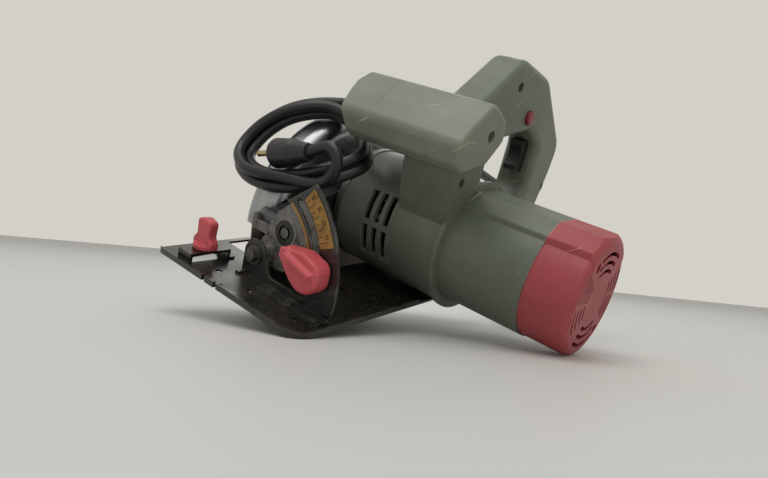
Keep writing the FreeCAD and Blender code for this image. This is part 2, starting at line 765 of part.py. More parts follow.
def make_rear_handle(grip_screws):
    y0 = handle_mid_y - handle_half_width
    y1 = handle_mid_y + handle_half_width
    face = handle_face(0)
    face.translate(Vector(0, y0, 0))
    body = face.extrude(Vector(0, y1 - y0, 0))
    rim = []
    for edge in body.Edges:
        b = edge.BoundBox
        flat = abs(b.YMin - b.YMax) < 0.01
        near_joint = b.XMin > -40 and b.ZMax < 100
        if flat and not near_joint:
            rim.append(edge)
    body = body.makeFillet(handle_round, rim)
    inner = handle_face(handle_wall)
    inner.translate(Vector(0, y0 + handle_wall, 0))
    hollow = inner.extrude(Vector(0, y1 - y0 - 2 * handle_wall, 0))
    body = body.cut(hollow)
    for x, z in handle_screw_places():
        body = body.fuse(rod_y(x, z, 7.0, y0 + 2, y1 - 2))
    body = body.cut(front_envelope())
    exit_point, direction = cord_exit()
    seat_start = exit_point - direction * relief_seat
    body = body.fuse(Part.makeCylinder(8.5, relief_seat + 1, seat_start, direction))
    neck_start = seat_start - direction * 5
    body = body.cut(Part.makeCylinder(relief_neck_radius + 0.1, relief_seat + 10, neck_start, direction))
    window = box(-140, -118, handle_mid_y - 7.4, handle_mid_y + 7.4, trigger_z0 - 1, trigger_z1 + 1)
    body = body.cut(window)
    lock_x, lock_z = lock_button_place()
    body = body.cut(rod_y(lock_x, lock_z, 6.9, y1 - 8, y1 + 2))
    halves = []
    for low, high in ((y0 - 1, handle_mid_y - seam_gap / 2), (handle_mid_y + seam_gap / 2, y1 + 1)):
        half = body.common(box(-220, 60, low, high, 0, 230))
        halves.append(solid_with_most(half))
    left, right = halves
    screws = []
    for x, z in handle_screw_places():
        right = without(right, rod_y(x, z, screw_hole_radius, y1 - 9, y1 + 1), rod_y(x, z, 2.0, 80, 130))
        left = left.cut(rod_y(x, z, 2.0, y0 + 4, 130))
        screws.append(screw_y(x, z, 2.0, 3.8, y0 + 5, y1 - 9, 2.8))
    keep("handle_shell_left", left)
    keep("handle_shell_right", right)
    keep("handle_screws", *grip_screws, *screws)


lock_travel = 2.5


def lock_button_place():
    return -90.0, 161.5


def make_switch():
    y_mid = handle_mid_y
    body = box(-160, switch_face_x, y_mid - 9, y_mid + 9, 100, 150)
    arm = box(switch_face_x, -138.2, y_mid - 4, y_mid + 4, 120, 128)
    trigger = joined(
        box(-136, -119, y_mid - 6.8, y_mid + 6.8, trigger_z0, trigger_z1),
        rod_y(-124, trigger_z1 - 5, 5, y_mid - 6.8, y_mid + 6.8),
        rod_y(-124, trigger_z0 + 5, 5, y_mid - 6.8, y_mid + 6.8))
    dish = rod_y(-103, (trigger_z0 + trigger_z1) / 2, 19, y_mid - 10, y_mid + 10)
    flange = box(-138.5, -134.5, y_mid - 8.6, y_mid + 8.6, trigger_z0 - 3, trigger_z1 + 3)
    trigger = joined(trigger.cut(dish), flange)
    trigger.translate(Vector(1.0, 0, 0))
    trigger = trigger.cut(box(-142, -134.9, y_mid - 5, y_mid + 5, 119, 129))
    keep("trigger", trigger)
    springs = []
    for z in (trigger_z0 + 5, trigger_z1 - 5):
        springs.append(ring_x(y_mid, z, 2.4, 1.2, switch_face_x, switch_face_x + 3.2))
    keep("trigger_springs", *springs)
    lock_x, lock_z = lock_button_place()
    y1 = y_mid + handle_half_width
    button = joined(rod_y(lock_x, lock_z, 6.6, y1 - 7.2, y1 + 3.5),
                    rod_y(lock_x, lock_z, 8.6, y1 - 8.6, y1 - 6.0))
    edge = [e for e in button.Edges if abs(e.BoundBox.YMin - y1 - 3.5) < 0.01]
    button = button.makeFillet(2.2, edge)
    keep("lock_button", button)
    keep("lock_button_spring", ring_y(lock_x, lock_z, 4.0, 2.8, y_mid + 3.2, y1 - 8.6 - lock_travel - free_gap))
    seat = joined(ring_y(lock_x, lock_z, 9.5, 2.5, y_mid + 1.0, y_mid + 3.2),
                  box(lock_x - 22, lock_x - 9, y_mid + 1.0, y_mid + 3.2, lock_z - 6, lock_z + 6))
    keep("switch_body", joined(body, arm), seat)


# ---------------------------------------------------------------- tilt frame
def make_tilt_bracket():
    face_x0 = 118.0
    face_x1 = 120.0
    boss_x = quadrant_x - free_gap
    stud_y, stud_z = polar(bevel_slot_radius, stud_angle, bevel_y, bevel_z)
    sheet = [
        (bevel_y - 10, bevel_z - 9, 8), (bevel_y + 12, bevel_z - 9, 6), (stud_y + 8, stud_z - 11, 7),
        (stud_y + 6, stud_z + 10, 8), (bevel_y + 40, bevel_z + 57, 14), (bevel_y + 17, bevel_z + 48, 10),
        (bevel_y + 3, bevel_z + 35, 10), (bevel_y - 4, bevel_z + 15, 8), (bevel_y - 10, bevel_z + 9, 6)]
    plate = plate_x(sheet, face_x0, face_x1)
    pivot_boss = rod_x(bevel_y, bevel_z, 8.5, face_x0 - 2, boss_x)
    stud_boss = rod_x(stud_y, stud_z, 7.0, face_x0, boss_x)
    screw_y0, screw_z0 = bracket_screw_place()
    ring_boss = rod_x(screw_y0, screw_z0, 12.0, face_x0 - 3, face_x1 + 1.2)
    ears = []
    for y0, y1 in ((17.6, 21.7), (38.3, 43.0)):
        ears.append(rod_y(depth_x, depth_z, 8, y0, y1))
        ears.append(box(depth_x, face_x1, y0, y1, depth_z - 8, depth_z + 4))
    bridge_low = box(face_x0 - 1.5, face_x1, 17.6, 52, depth_z - 8, depth_z - 1)
    bracket = joined(plate, pivot_boss, stud_boss, ring_boss, bridge_low, *ears)
    bracket = without(
        bracket,
        rod_y(depth_x, depth_z, depth_pin_radius + running_fit, 0, 60),
        rod_x(bevel_y, bevel_z, 4.0 + running_fit, 100, 140),
        rod_x(stud_y, stud_z, stud_radius, 100, 140),
        rod_x(screw_y0, screw_z0, 10.0, face_x1 - 2, 140),
        rod_x(screw_y0, screw_z0, 2.5, 100, 140))
    keep("tilt_bracket", bracket)
    keep("bracket_fasteners",
         joined(rod_x(screw_y0, screw_z0, 2.5, face_x0 - 3, face_x1 - 2),
                rod_x(screw_y0, screw_z0, 4.0, face_x1 - 0.5, face_x1 + 1.6)),
         rod_x(stud_y, stud_z, stud_radius, face_x0, quadrant_x + 12),
         ring_x(stud_y, stud_z, 4.7, stud_radius + running_fit,
                quadrant_x + quadrant_thickness, quadrant_x + quadrant_thickness + 0.6))


def make_bracket_bush():
    y, z = bracket_screw_place()
    keep("bracket_bush", joined(ring_x(y, z, 9.8, 2.5, 118.0, 119.5), ring_x(y, z, 9.8, 6.0, 119.5, 121.6)))


def bracket_screw_place():
    return 56.5, 42.6


def make_depth_parts():
    keep("depth_hinge_pin", joined(
        rod_y(depth_x, depth_z, depth_pin_radius, 16.5, 45),
        rod_y(depth_x, depth_z, depth_pin_radius + 2, 43.3, 45.5),
        rod_y(depth_x, depth_z, depth_pin_radius + 1.5, 15.4, 17.3)))
    lock_x = depth_x - depth_arc_radius
    half = depth_arc_width / 2
    y0 = 38.3
    y1 = 41.3
    slot_half = lock_bolt_radius + free_gap
    band = arc_plate_y(depth_x, depth_z, depth_arc_radius - half, depth_arc_radius + half,
                       y0, y1, 180 - depth_max - 4, 186)
    slot = arc_plate_y(depth_x, depth_z, depth_arc_radius - slot_half, depth_arc_radius + slot_half,
                       y0 - 1, y1 + 1, 180 - depth_max, 180)
    slot_ends = []
    for angle in (180, 180 - depth_max):
        x, z = polar(depth_arc_radius, angle, depth_x, depth_z)
        slot_ends.append(rod_y(x, z, slot_half, y0 - 1, y1 + 1))
    foot = box(-103.5, lock_x + half, bevel_y - 6.5, bevel_y + 6.5, bevel_z - 7, bevel_z + 5)
    arm = without(joined(band, foot), slot, *slot_ends)
    arm = arm.cut(rod_x(bevel_y, bevel_z, 4.0 + running_fit, -130, 0))
    keep("depth_arc", arm)
    bolt = joined(rod_y(lock_x, depth_z, lock_bolt_radius, 20, 50),
                  rod_y(lock_x, depth_z, 5.5, 19.4, 21.7))
    keep("depth_lock_bolt", bolt)
    hub = ring_y(lock_x, depth_z, 8, lock_bolt_radius + running_fit, y1 + free_gap, 49)
    handle = [(lock_x - 6, depth_z - 5, 2), (lock_x - 44, depth_z + 8, 4), (lock_x - 42, depth_z + 17, 4),
              (lock_x + 2, depth_z + 6, 2)]
    lever = joined(hub, plate_y(handle, 44.5, 48.5))
    keep("depth_lock_lever", lever.cut(rod_y(lock_x, depth_z, lock_bolt_radius + running_fit, 30, 60)))


# ---------------------------------------------------------------- sole
def make_sole():
    r = sole_corner
    t = sole_thickness
    border = [(sole_back_x, sole_left_y, 6), (sole_front_x, sole_left_y, 8),
              (sole_front_x, sole_right_y, r), (sole_back_x, sole_right_y, r)]
    inner = [(sole_back_x + t, sole_left_y - 20, 0), (sole_front_x - t, sole_left_y - 20, 0),
             (sole_front_x - t, sole_right_y - t, r - t), (sole_back_x + t, sole_right_y - t, r - t)]
    pan = plate_z(border, 0, lip_height).cut(plate_z(inner, t, lip_height + 1))
    # the lips stop short at the blade slot side, where the sole swings close to the guard
    pan = pan.cut(box(sole_back_x - 1, sole_front_x - 30, sole_left_y - 1, slot_left_y + 0.1, t, 20))
    slot = [(-slot_half_length, slot_left_y, 3), (-slot_half_length, slot_right_y, 3),
            (-notch_half_length, slot_right_y, 3), (-notch_half_length, notch_right_y, 5),
            (notch_half_length, notch_right_y, 5), (notch_half_length, slot_right_y, 3),
            (slot_half_length, slot_right_y, 3), (slot_half_length, slot_left_y, 3)]
    pan = pan.cut(plate_z(list(reversed(slot)), -1, 20))
    # the motor side lip is cut away under the motor housing
    pan = pan.cut(box(-30, 30, sole_right_y - 12, sole_right_y + 1, t, 20))
    # stiffening beads pressed up beside the slot and along the motor side
    beads = [((-85, 112), (-28, 112)), ((28, 112), (60, 112)), ((75, 62), (75, 112)),
             ((-85, 62), (-85, 100)), ((95, 35), (95, 120))]
    for (x0, y0), (x1, y1) in beads:
        bead = box(min(x0, x1) - 3, max(x0, x1) + 3, min(y0, y1) - 3, max(y0, y1) + 3, t - 0.5, t + 1.2)
        pan = pan.fuse(bead)
    # see-through window under the fence clamp, then the sighting notches
    pan = pan.cut(plate_z([(162, -5, 2), (162, 3, 2), (137, 4, 2), (128, -11, 2), (150, -9, 3)], -1, 20))
    for y in (30.0, 44.0):
        pan = pan.cut(box(sole_front_x - 7, sole_front_x + 1, y, y + 3.2, -1, 20))
    for x, y, radius in ((150, 24, 3.0), (150, 62, 2.5), (150, 110, 2.5), (-60, 100, 3.5), (-98, 60, 2.5)):
        pan = pan.cut(rod_z(x, y, radius, -1, 20))
    for x, y in sole_rivet_places():
        pan = pan.cut(rod_z(x, y, 2.0, -1, 20))
    keep("sole", pan.removeSplitter())


def sole_rivet_places():
    rear_x = -97.3
    return [(139, 72), (139, 92), (139, 118), (rear_x, bevel_y - 9), (rear_x, bevel_y + 13)]


def make_quadrant():
    x0 = quadrant_x
    x1 = quadrant_x + quadrant_thickness
    t = sole_thickness
    band = arc_plate_x(bevel_y, bevel_z, quadrant_inner, quadrant_outer, x0, x1, -11.0, 68)
    # the top end is cut off on a slant, from the outer edge inwards
    outer_end = polar(quadrant_outer + 1, scale_end, bevel_y, bevel_z)
    inner_end = polar(quadrant_inner - 1, scale_end + 10, bevel_y, bevel_z)
    corner = [(*outer_end, 0), (*inner_end, 0), (inner_end[0], 140, 0), (outer_end[0], 140, 0)]
    band = band.cut(plate_x(corner, x0 - 1, x1 + 1))
    strip = plate_x([(bevel_y - 12, t, 0), (bevel_y - 12, bevel_z + 3, 3), (bevel_y - 7, bevel_z + 12, 7),
                     (bevel_y + 7, bevel_z + 12, 7), (bevel_y + 12, bevel_z + 3, 3), (bevel_y + 18, 9, 6),
                     (bevel_y + 60, 9, 0), (bevel_y + 83.5, 9, 0), (bevel_y + 83.5, t, 0)], x0, x1)
    foot = box(x0, x1 + 11, 62, 126, t, t + 1.8)
    ear_foot = box(x0, x1 + 6, bevel_y - 12, bevel_y - 8, t, t + 1.8)
    trim = box(x0 - 1, x1 + 1, 0, 140, -20, t)
    plate = joined(band.cut(trim), strip, foot, ear_foot)
    slot_half = stud_radius + free_gap
    slot = arc_plate_x(bevel_y, bevel_z, bevel_slot_radius - slot_half, bevel_slot_radius + slot_half,
                       x0 - 1, x1 + 1, stud_angle, stud_angle + bevel_max)
    plate = plate.cut(slot)
    for angle in (stud_angle, stud_angle + bevel_max):
        y, z = polar(bevel_slot_radius, angle, bevel_y, bevel_z)
        plate = plate.cut(rod_x(y, z, slot_half, x0 - 1, x1 + 1))
    plate = plate.cut(rod_x(bevel_y, bevel_z, 4.0, x0 - 1, x1 + 1))
    rear_ear = joined(box(-108.0, -106.0, bevel_y - 9, bevel_y + 9, t, bevel_z),
                      rod_x(bevel_y, bevel_z, 9, -108.0, -106.0),
                      box(-108.0, -92.0, bevel_y - 13, bevel_y - 7.2, t, t + 1.8),
                      box(-108.0, -92.0, bevel_y + 9, bevel_y + 17, t, t + 1.8))
    rear_ear = rear_ear.fuse(box(-108.0, -106.0, bevel_y - 13, bevel_y + 17, t, t + 4)).removeSplitter()
    rear_ear = rear_ear.cut(rod_x(bevel_y, bevel_z, 4.0, -120, -90))
    rivets = []
    for x, y in sole_rivet_places():
        target = rear_ear if x < 0 else plate
        target = target.cut(rod_z(x, y, 2.0, -1, 20))
        if x < 0:
            rear_ear = target
        else:
            plate = target
        rivets.append(joined(rod_z(x, y, 2.0, 0.2, t + 1.8), rod_z(x, y, 3.6, t + 1.8, t + 3.2)))
    keep("bevel_quadrant", plate)
    keep("rear_pivot_ear", rear_ear)
    keep("sole_rivets", *rivets)
    scale = arc_plate_x(bevel_y, bevel_z, 70.5, 83.0, x1, x1 + 0.5, scale_start, scale_end - 1)
    keep("bevel_scale", scale)
    front = joined(rod_x(bevel_y, bevel_z, 4.0, 116.3, x1 + 1.5),
                   ring_x(bevel_y, bevel_z, 7.5, 3.9, x1, x1 + 1.5),
                   hexagon_x(bevel_y, bevel_z, 9, x1 + 1.5, x1 + 5.5))
    rear = joined(rod_x(bevel_y, bevel_z, 4.0, -112, -94), hexagon_x(bevel_y, bevel_z, 11, -113, -108))
    keep("pivot_bolts", front, rear)


def make_fence_clamp():
    t = sole_thickness
    x0, x1 = 127.5, 165.0
    y0, y1 = -9.0, 7.0
    strap_z = 8.6
    strap = 2.0
    top_z = strap_z + strap
    bridge = box(x0, x1, y0, y1, t, top_z).cut(box(x0 + strap, x1 - strap, y0 - 1, y1 + 1, t - 1, strap_z))
    bridge = joined(bridge, box(x0 - 5, x0 + strap, y0, y1, t, t + 1.8),
                    box(x1 - strap, sole_front_x - t - 0.3, y0, y1, t, t + 1.8))
    mid_x, mid_y = fence_knob_place()
    screw_radius = 3.0
    keep("fence_clamp", bridge.cut(rod_z(mid_x, mid_y, screw_radius, t, top_z + 1)))
    keep("fence_screw", rod_z(mid_x, mid_y, screw_radius - running_fit, strap_z + 0.2, top_z + 6))
    # wide foot, narrower grip rising above it
    collar_z = top_z + free_gap
    collar = rod_z(mid_x, mid_y, 9.5, collar_z, collar_z + 4)
    profile = [(-11.5, 0.6, 2), (-11.5, 6.5, 3), (-7.5, 11, 4), (-8.5, 23.0, 3.5), (0.0, 25.5, 6),
               (8.5, 23.0, 3.5), (7.5, 11, 4), (11.5, 6.5, 3), (11.5, 0.6, 2)]
    wing = plate_x([(mid_y + y, collar_z + z, r) for y, z, r in profile], mid_x - 4.2, mid_x + 4.2)
    rims = [edge for edge in wing.Edges if edge.BoundBox.XLength < 0.01]
    knob = joined(collar, wing.makeFillet(1.5, rims))
    keep("fence_knob", knob.cut(rod_z(mid_x, mid_y, screw_radius - running_fit, strap_z, top_z + 6)))


def fence_knob_place():
    return 147.0, -1.0


def make_bevel_knob():
    x0 = quadrant_x + quadrant_thickness + 0.6
    x1 = x0 + 19
    y, z = polar(bevel_slot_radius, stud_angle, bevel_y, bevel_z)
    tail_y, tail_z = y - 25, z + 7
    drop = plate_x([(y + 14.5, z + 9, 8), (y + 14.5, z - 12, 12), (y - 2, z - 15, 12), (y - 12, z - 9, 8),
                    (tail_y, tail_z - 3.5, 2.5), (tail_y, tail_z + 3.5, 2.5), (y - 4, z + 14, 10)], x0, x1)
    front_edges = [edge for edge in drop.Edges if edge.BoundBox.XMin > x1 - 0.01]
    drop = drop.makeFillet(2.0, front_edges)
    drop = drop.cut(rod_x(y, z, stud_radius + running_fit, x0 - 1, x0 + 12))
    keep("bevel_knob", drop)


# ---------------------------------------------------------------- cord
def cord_exit():
    direction = Vector(-0.55, 0, -0.835).normalize()
    return Vector(-157, handle_mid_y, 45), direction


def make_strain_relief():
    point, direction = cord_exit()
    seat_start = point - direction * relief_seat
    flange = Part.makeCylinder(7.1, 4, seat_start - direction * 4.1, direction)
    neck = Part.makeCylinder(relief_neck_radius, relief_seat + 1.6, seat_start - direction * 0.2, direction)
    taper = Part.makeCone(7.6, 5.7, relief_length, point + direction * 1.2, direction)
    bore = Part.makeCylinder(cord_radius, 90, seat_start - direction * 9, direction)
    keep("strain_relief", joined(flange, neck, taper).cut(bore))


def lead_route():
    point, direction = cord_exit()
    end = point + direction * relief_length
    places = [
        (-203, 103, -38), (-237, 98, -61), (-279, 90, -57), (-308, 79, -25), (-308, 69, 19),
        (-279, 62, 53), (-224, 59, 67), (-176, 59, 82), (-128, 59, 96), (-84, 58, 111),
        (-42, 45, 127), (-2, 27, 139), (45, 10, 132)]
    return [end - direction * 30, end + direction * 18] + [Vector(*place) for place in places]


coil_route = [
    (107, 16, 70.5), (98, 42, 78), (79, 62, 92), (59, 70, 103.5), (43, 54, 112.5), (38, 30, 128),
    (44, 5, 132.2), (62, -21.5, 120.5), (77, -38, 100.5), (90, -41, 79.5), (101, -30, 72.5), (107, -11, 69.5)]


def tube_along(points, radius):
    """Tube of straight runs joined by tangent arcs; each arc is as large as its runs allow."""
    edges = []
    arc_radii = []
    last = points[0]
    for i in range(1, len(points) - 1):
        before = points[i - 1] - points[i]
        after = points[i + 1] - points[i]
        shorter = min(before.Length, after.Length)
        to_last = Vector(before).normalize()
        to_next = Vector(after).normalize()
        half_angle = to_last.getAngle(to_next) / 2
        reach = 0.45 * shorter
        arc_radius = reach * math.tan(half_angle)
        arc_radii.append(round(arc_radius, 1))
        inward = (to_last + to_next).normalize()
        start = points[i] + to_last * reach
        end = points[i] + to_next * reach
        middle = points[i] + inward * (arc_radius / math.sin(half_angle) - arc_radius)
        edges.append(Part.LineSegment(last, start).toShape())
        edges.append(Part.Arc(start, middle, end).toShape())
        last = end
    edges.append(Part.LineSegment(last, points[-1]).toShape())
    path = Part.Wire(edges)
    heading = (points[1] - points[0]).normalize()
    section = Part.Wire(Part.makeCircle(radius, points[0], heading))
    tube = path.makePipeShell([section], True, False)
    length = sum(edge.Length for edge in edges)
    print("tube", round(length, 1), "mm, volume ratio",
          round(tube.Volume / (math.pi * radius ** 2 * length), 4), "radii", arc_radii)
    return tube


def make_cord():
    lead = tube_along(lead_route(), cord_radius)
    points = [Vector(*p) for p in coil_route]
    ring = None
    for i, point in enumerate(points):
        following = points[(i + 1) % len(points)]
        run = following - point
        link = Part.makeCylinder(coil_radius, run.Length, point, run)
        ball = Part.makeSphere(coil_radius, point)
        ring = joined(link, ball) if ring is None else ring.fuse(link).fuse(ball)
    keep("cord_coil", solid_with_most(ring))
    keep("cord_lead", solid_with_most(lead.cut(ring)))


def plug_place():
    return Vector(97.5, 18, 94.5), Vector(-0.05, -0.95, -0.3).normalize()


def make_plug():
    centre, axis = plug_place()
    face = centre + axis * 11
    body = Part.makeCone(11.0, 12.5, 22, centre - axis * 11, axis)
    nose = Part.makeCone(7.0, 10.0, 16, centre - axis * 27, axis)
    side = axis.cross(Vector(0, 0, 1)).normalize()
    pins = []
    for sign in (-1, 1):
        start = face + side * (plug_pin_pitch / 2 * sign)
        pins.append(Part.makeCylinder(plug_pin_radius, 16, start, axis))
    keep("plug_body", joined(body, nose))
    keep("plug_pins", *pins)


# ---------------------------------------------------------------- resting pose
def resting_up():
    """Direction of the vertical when the saw leans on guard rim, sole corner and cap rim."""
    up = Vector(-0.17, -0.3, 0.93).normalize()
    for step in range(40):
        down = up * -1
        in_xz = Vector(down.x, 0, down.z).normalize()
        in_xy = Vector(down.x, down.y, 0).normalize()
        guard = Vector(0, lower_guard_half_width - lower_guard_corner, spindle_z)
        guard = guard + in_xz * (lower_guard_radius - lower_guard_corner) + down * lower_guard_corner
        cap = Vector(0, cap_end_y - cap_corner, motor_z)
        cap = cap + in_xz * (cap_radius - cap_corner) + down * cap_corner
        corner = Vector(sole_front_x - sole_corner, sole_right_y - sole_corner, 0) + in_xy * sole_corner
        normal = (cap - guard).cross(corner - guard).normalize()
        up = normal if normal.z > 0 else normal * -1
    return up, guard


def resting_placement():
    up, foot = resting_up()
    forward = Vector(1, 0, 0) - up * up.x
    forward.normalize()
    left = up.cross(forward)
    turn = Matrix(forward.x, forward.y, forward.z, 0, left.x, left.y, left.z, 0,
                  up.x, up.y, up.z, 0, 0, 0, 0, 1)
    rotation = Placement(turn)
    low_x, low_y, high_x, high_y = 1e9, 1e9, -1e9, -1e9
    for name, solids in parts.items():
        if name in cord_names:
            continue
        for solid in solids:
            for vertex in solid.tessellate(0.3)[0]:
                point = rotation.multVec(vertex)
                low_x = min(low_x, point.x)
                high_x = max(high_x, point.x)
                low_y = min(low_y, point.y)
                high_y = max(high_y, point.y)
    height = rotation.multVec(foot).z
    shift = Vector(-(low_x + high_x) / 2, -(low_y + high_y) / 2, -height)
    return Placement(shift, rotation.Rotation)


cord_names = ("cord_lead", "cord_coil", "plug_body", "plug_pins", "strain_relief")

make_spindle_group()
make_bearings()
make_upper_guard()
make_lower_guard()
make_gear_housing()
make_bearing_plate()
make_rotor()
make_stator()
make_brushes()
make_front_housing()
make_rear_housing()
make_end_cap()
make_housing_screws()
make_rear_handle(make_front_grip())
make_switch()
make_tilt_bracket()
make_bracket_bush()
make_depth_parts()
make_sole()
make_quadrant()
make_fence_clamp()
make_bevel_knob()
make_strain_relief()
make_cord()
make_plug()

placement = resting_placement()
os.makedirs("parts", exist_ok=True)
for name, solids in parts.items():
    moved = []
    for solid in solids:
        piece = solid.copy()
        piece.Placement = placement.multiply(piece.Placement)
        moved.extend(piece.Solids)
    shape = moved[0] if len(moved) == 1 else Part.makeCompound(moved)
    if not all(piece.isValid() for piece in moved):
        print("not valid:", name)
    shape.exportStep("parts/" + name + ".step")
print(len(parts), "nodes, resting placement", placement)
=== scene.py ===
import math
import bpy
from mathutils import Matrix, Vector


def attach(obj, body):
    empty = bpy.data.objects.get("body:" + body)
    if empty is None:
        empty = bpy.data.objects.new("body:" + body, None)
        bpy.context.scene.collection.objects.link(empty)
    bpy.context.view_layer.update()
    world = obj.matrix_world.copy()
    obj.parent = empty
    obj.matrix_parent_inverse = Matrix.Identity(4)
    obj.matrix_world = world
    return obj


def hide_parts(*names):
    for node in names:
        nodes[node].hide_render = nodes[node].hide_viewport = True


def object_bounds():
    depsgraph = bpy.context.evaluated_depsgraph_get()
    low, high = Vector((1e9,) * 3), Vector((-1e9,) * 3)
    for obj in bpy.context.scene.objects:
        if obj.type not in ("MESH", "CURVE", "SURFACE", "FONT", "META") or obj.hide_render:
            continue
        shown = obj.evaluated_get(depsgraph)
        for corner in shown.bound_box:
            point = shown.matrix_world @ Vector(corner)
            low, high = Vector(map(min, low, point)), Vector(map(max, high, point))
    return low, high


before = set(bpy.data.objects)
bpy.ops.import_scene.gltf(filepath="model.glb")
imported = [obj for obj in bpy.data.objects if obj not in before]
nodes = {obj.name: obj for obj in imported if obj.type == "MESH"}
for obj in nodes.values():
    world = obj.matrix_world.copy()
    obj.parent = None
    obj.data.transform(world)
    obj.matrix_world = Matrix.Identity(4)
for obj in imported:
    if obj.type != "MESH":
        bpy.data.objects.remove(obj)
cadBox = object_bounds()
bpy.ops.object.select_all(action="DESELECT")
bpy.context.scene.view_settings.view_transform = "Standard"
print("frame loaded,", len(nodes), "nodes")

# The saw was drawn upright in mm, X forward, Y towards the motor, Z up from the sole, then laid down to rest.
rest = {"shiftMm": (-2.36764, -121.83585, 69.20975), "pitchDegrees": 10.3249, "rollDegrees": -18.0614}
restTurn = (Matrix.Rotation(math.radians(rest["pitchDegrees"]), 3, "Y")
            @ Matrix.Rotation(math.radians(rest["rollDegrees"]), 3, "X"))
restMatrix = Matrix.Translation(Vector(rest["shiftMm"]) / 1000) @ restTurn.to_4x4()


def place(x, y, z):
    return restMatrix @ (Vector((x, y, z)) / 1000)


def hexColor(text):
    channels = [int(text[i:i + 2], 16) / 255 for i in (1, 3, 5)]  # sRGB to linear
    return tuple(c / 12.92 if c <= 0.04045 else ((c + 0.055) / 1.055) ** 2.4 for c in channels) + (1.0,)


# camera, with its place and its two directions given on the upright saw
cameraLook = {"lensMm": 28.03, "sensorMm": 36.0, "nearestMm": 10, "placeMm": (429.48, 364.13, 185.68),
              "right": (-0.6153, 0.7544, 0.2288), "up": (-0.0908, -0.3561, 0.9300)}


def makeCamera(look):
    data = bpy.data.cameras.new("camera")
    data.lens = look["lensMm"]
    data.sensor_width = look["sensorMm"]
    data.clip_start = look["nearestMm"] / 1000
    camera = bpy.data.objects.new("camera", data)
    bpy.context.scene.collection.objects.link(camera)
    right = Vector(look["right"]).normalized()
    up = Vector(look["up"])
    back = right.cross(up).normalized()
    up = back.cross(right)
    turn = Matrix((right, up, back)).transposed()
    camera.matrix_world = Matrix.Translation(place(*look["placeMm"])) @ (restTurn @ turn).to_4x4()
    bpy.context.scene.camera = camera


makeCamera(cameraLook)
print("camera placed")


# materials, all made of nodes that one small function adds
def addNode(owner, kind, settings=None, links=None):
    node = owner.node_tree.nodes.new(kind)
    for key, value in (settings or {}).items():
        if isinstance(key, int) or key in node.inputs:
            node.inputs[key].default_value = value
        else:
            setattr(node, key, value)
    for key, source in (links or {}).items():
        owner.node_tree.links.new(source, node.inputs[key])
    return node


def newMaterial(name):
    material = bpy.data.materials.new(name)
    material.use_nodes = True
    material.node_tree.nodes.clear()
    shader = addNode(material, "ShaderNodeBsdfPrincipled")
    addNode(material, "ShaderNodeOutputMaterial", {}, {"Surface": shader.outputs["BSDF"]})
    return material, shader


def mmScale(sizeMm):
    return 1000.0 / sizeMm  # noise scale for features of this size on coordinates in metres


# what all worn skins share, while what sets one apart is in its own dictionary further down
skinLook = {
    "cornerSamples": 4, "cornerFrom": 0.97, "cornerTo": 0.80,  # how far the normal leans at a rubbed corner
    "wearFrom": 0.62, "wearFromShare": 0.4, "wearTo": 0.72, "wearToShare": 0.3,
    "scratchBend": 0.05, "scratchTurn": (0.4, 0.9, 0.3), "crestFrom": 0.997,
    "waveLength": 0.314,  # one wave of the wave texture at scale 1
    "scratchPatchMm": 26, "scratchPatchFrom": 0.6, "scratchPatchTo": 0.68,
    "patchFrom": 0.35, "patchTo": 0.65, "dirtSpan": 0.12, "dustSpan": 0.15,
    "grainDepthMm": 0.4, "sheenShare": 0.6, "sheenFrom": 0.3, "sheenTo": 0.7,
    "plasticIor": 1.5,
}


def edgeMask(material, coords, look):
    # where a rounded copy of the normal leaves the flat one, the corner is rubbed
    soft = addNode(material, "ShaderNodeBevel",
                   {"samples": skinLook["cornerSamples"], "Radius": look["edgeMm"] / 1000})
    flat = addNode(material, "ShaderNodeNewGeometry")
    match = addNode(material, "ShaderNodeVectorMath", {"operation": "DOT_PRODUCT"},
                    {0: soft.outputs["Normal"], 1: flat.outputs["Normal"]})
    rim = addNode(material, "ShaderNodeMapRange",
                  {"From Min": skinLook["cornerFrom"], "From Max": skinLook["cornerTo"]},
                  {"Value": match.outputs["Value"]})
    patches = addNode(material, "ShaderNodeTexNoise",
                      {"Scale": mmScale(look["edgePatchMm"]), "Detail": 4.0}, {"Vector": coords})
    limit = addNode(material, "ShaderNodeMapRange",
                    {"From Min": skinLook["wearFrom"] - look["edgeWear"] * skinLook["wearFromShare"],
                     "From Max": skinLook["wearTo"] - look["edgeWear"] * skinLook["wearToShare"]},
                    {"Value": patches.outputs["Fac"]})
    both = addNode(material, "ShaderNodeMath", {"operation": "MULTIPLY", "use_clamp": True},
                   {0: rim.outputs["Result"], 1: limit.outputs["Result"]})
    return both.outputs["Value"]


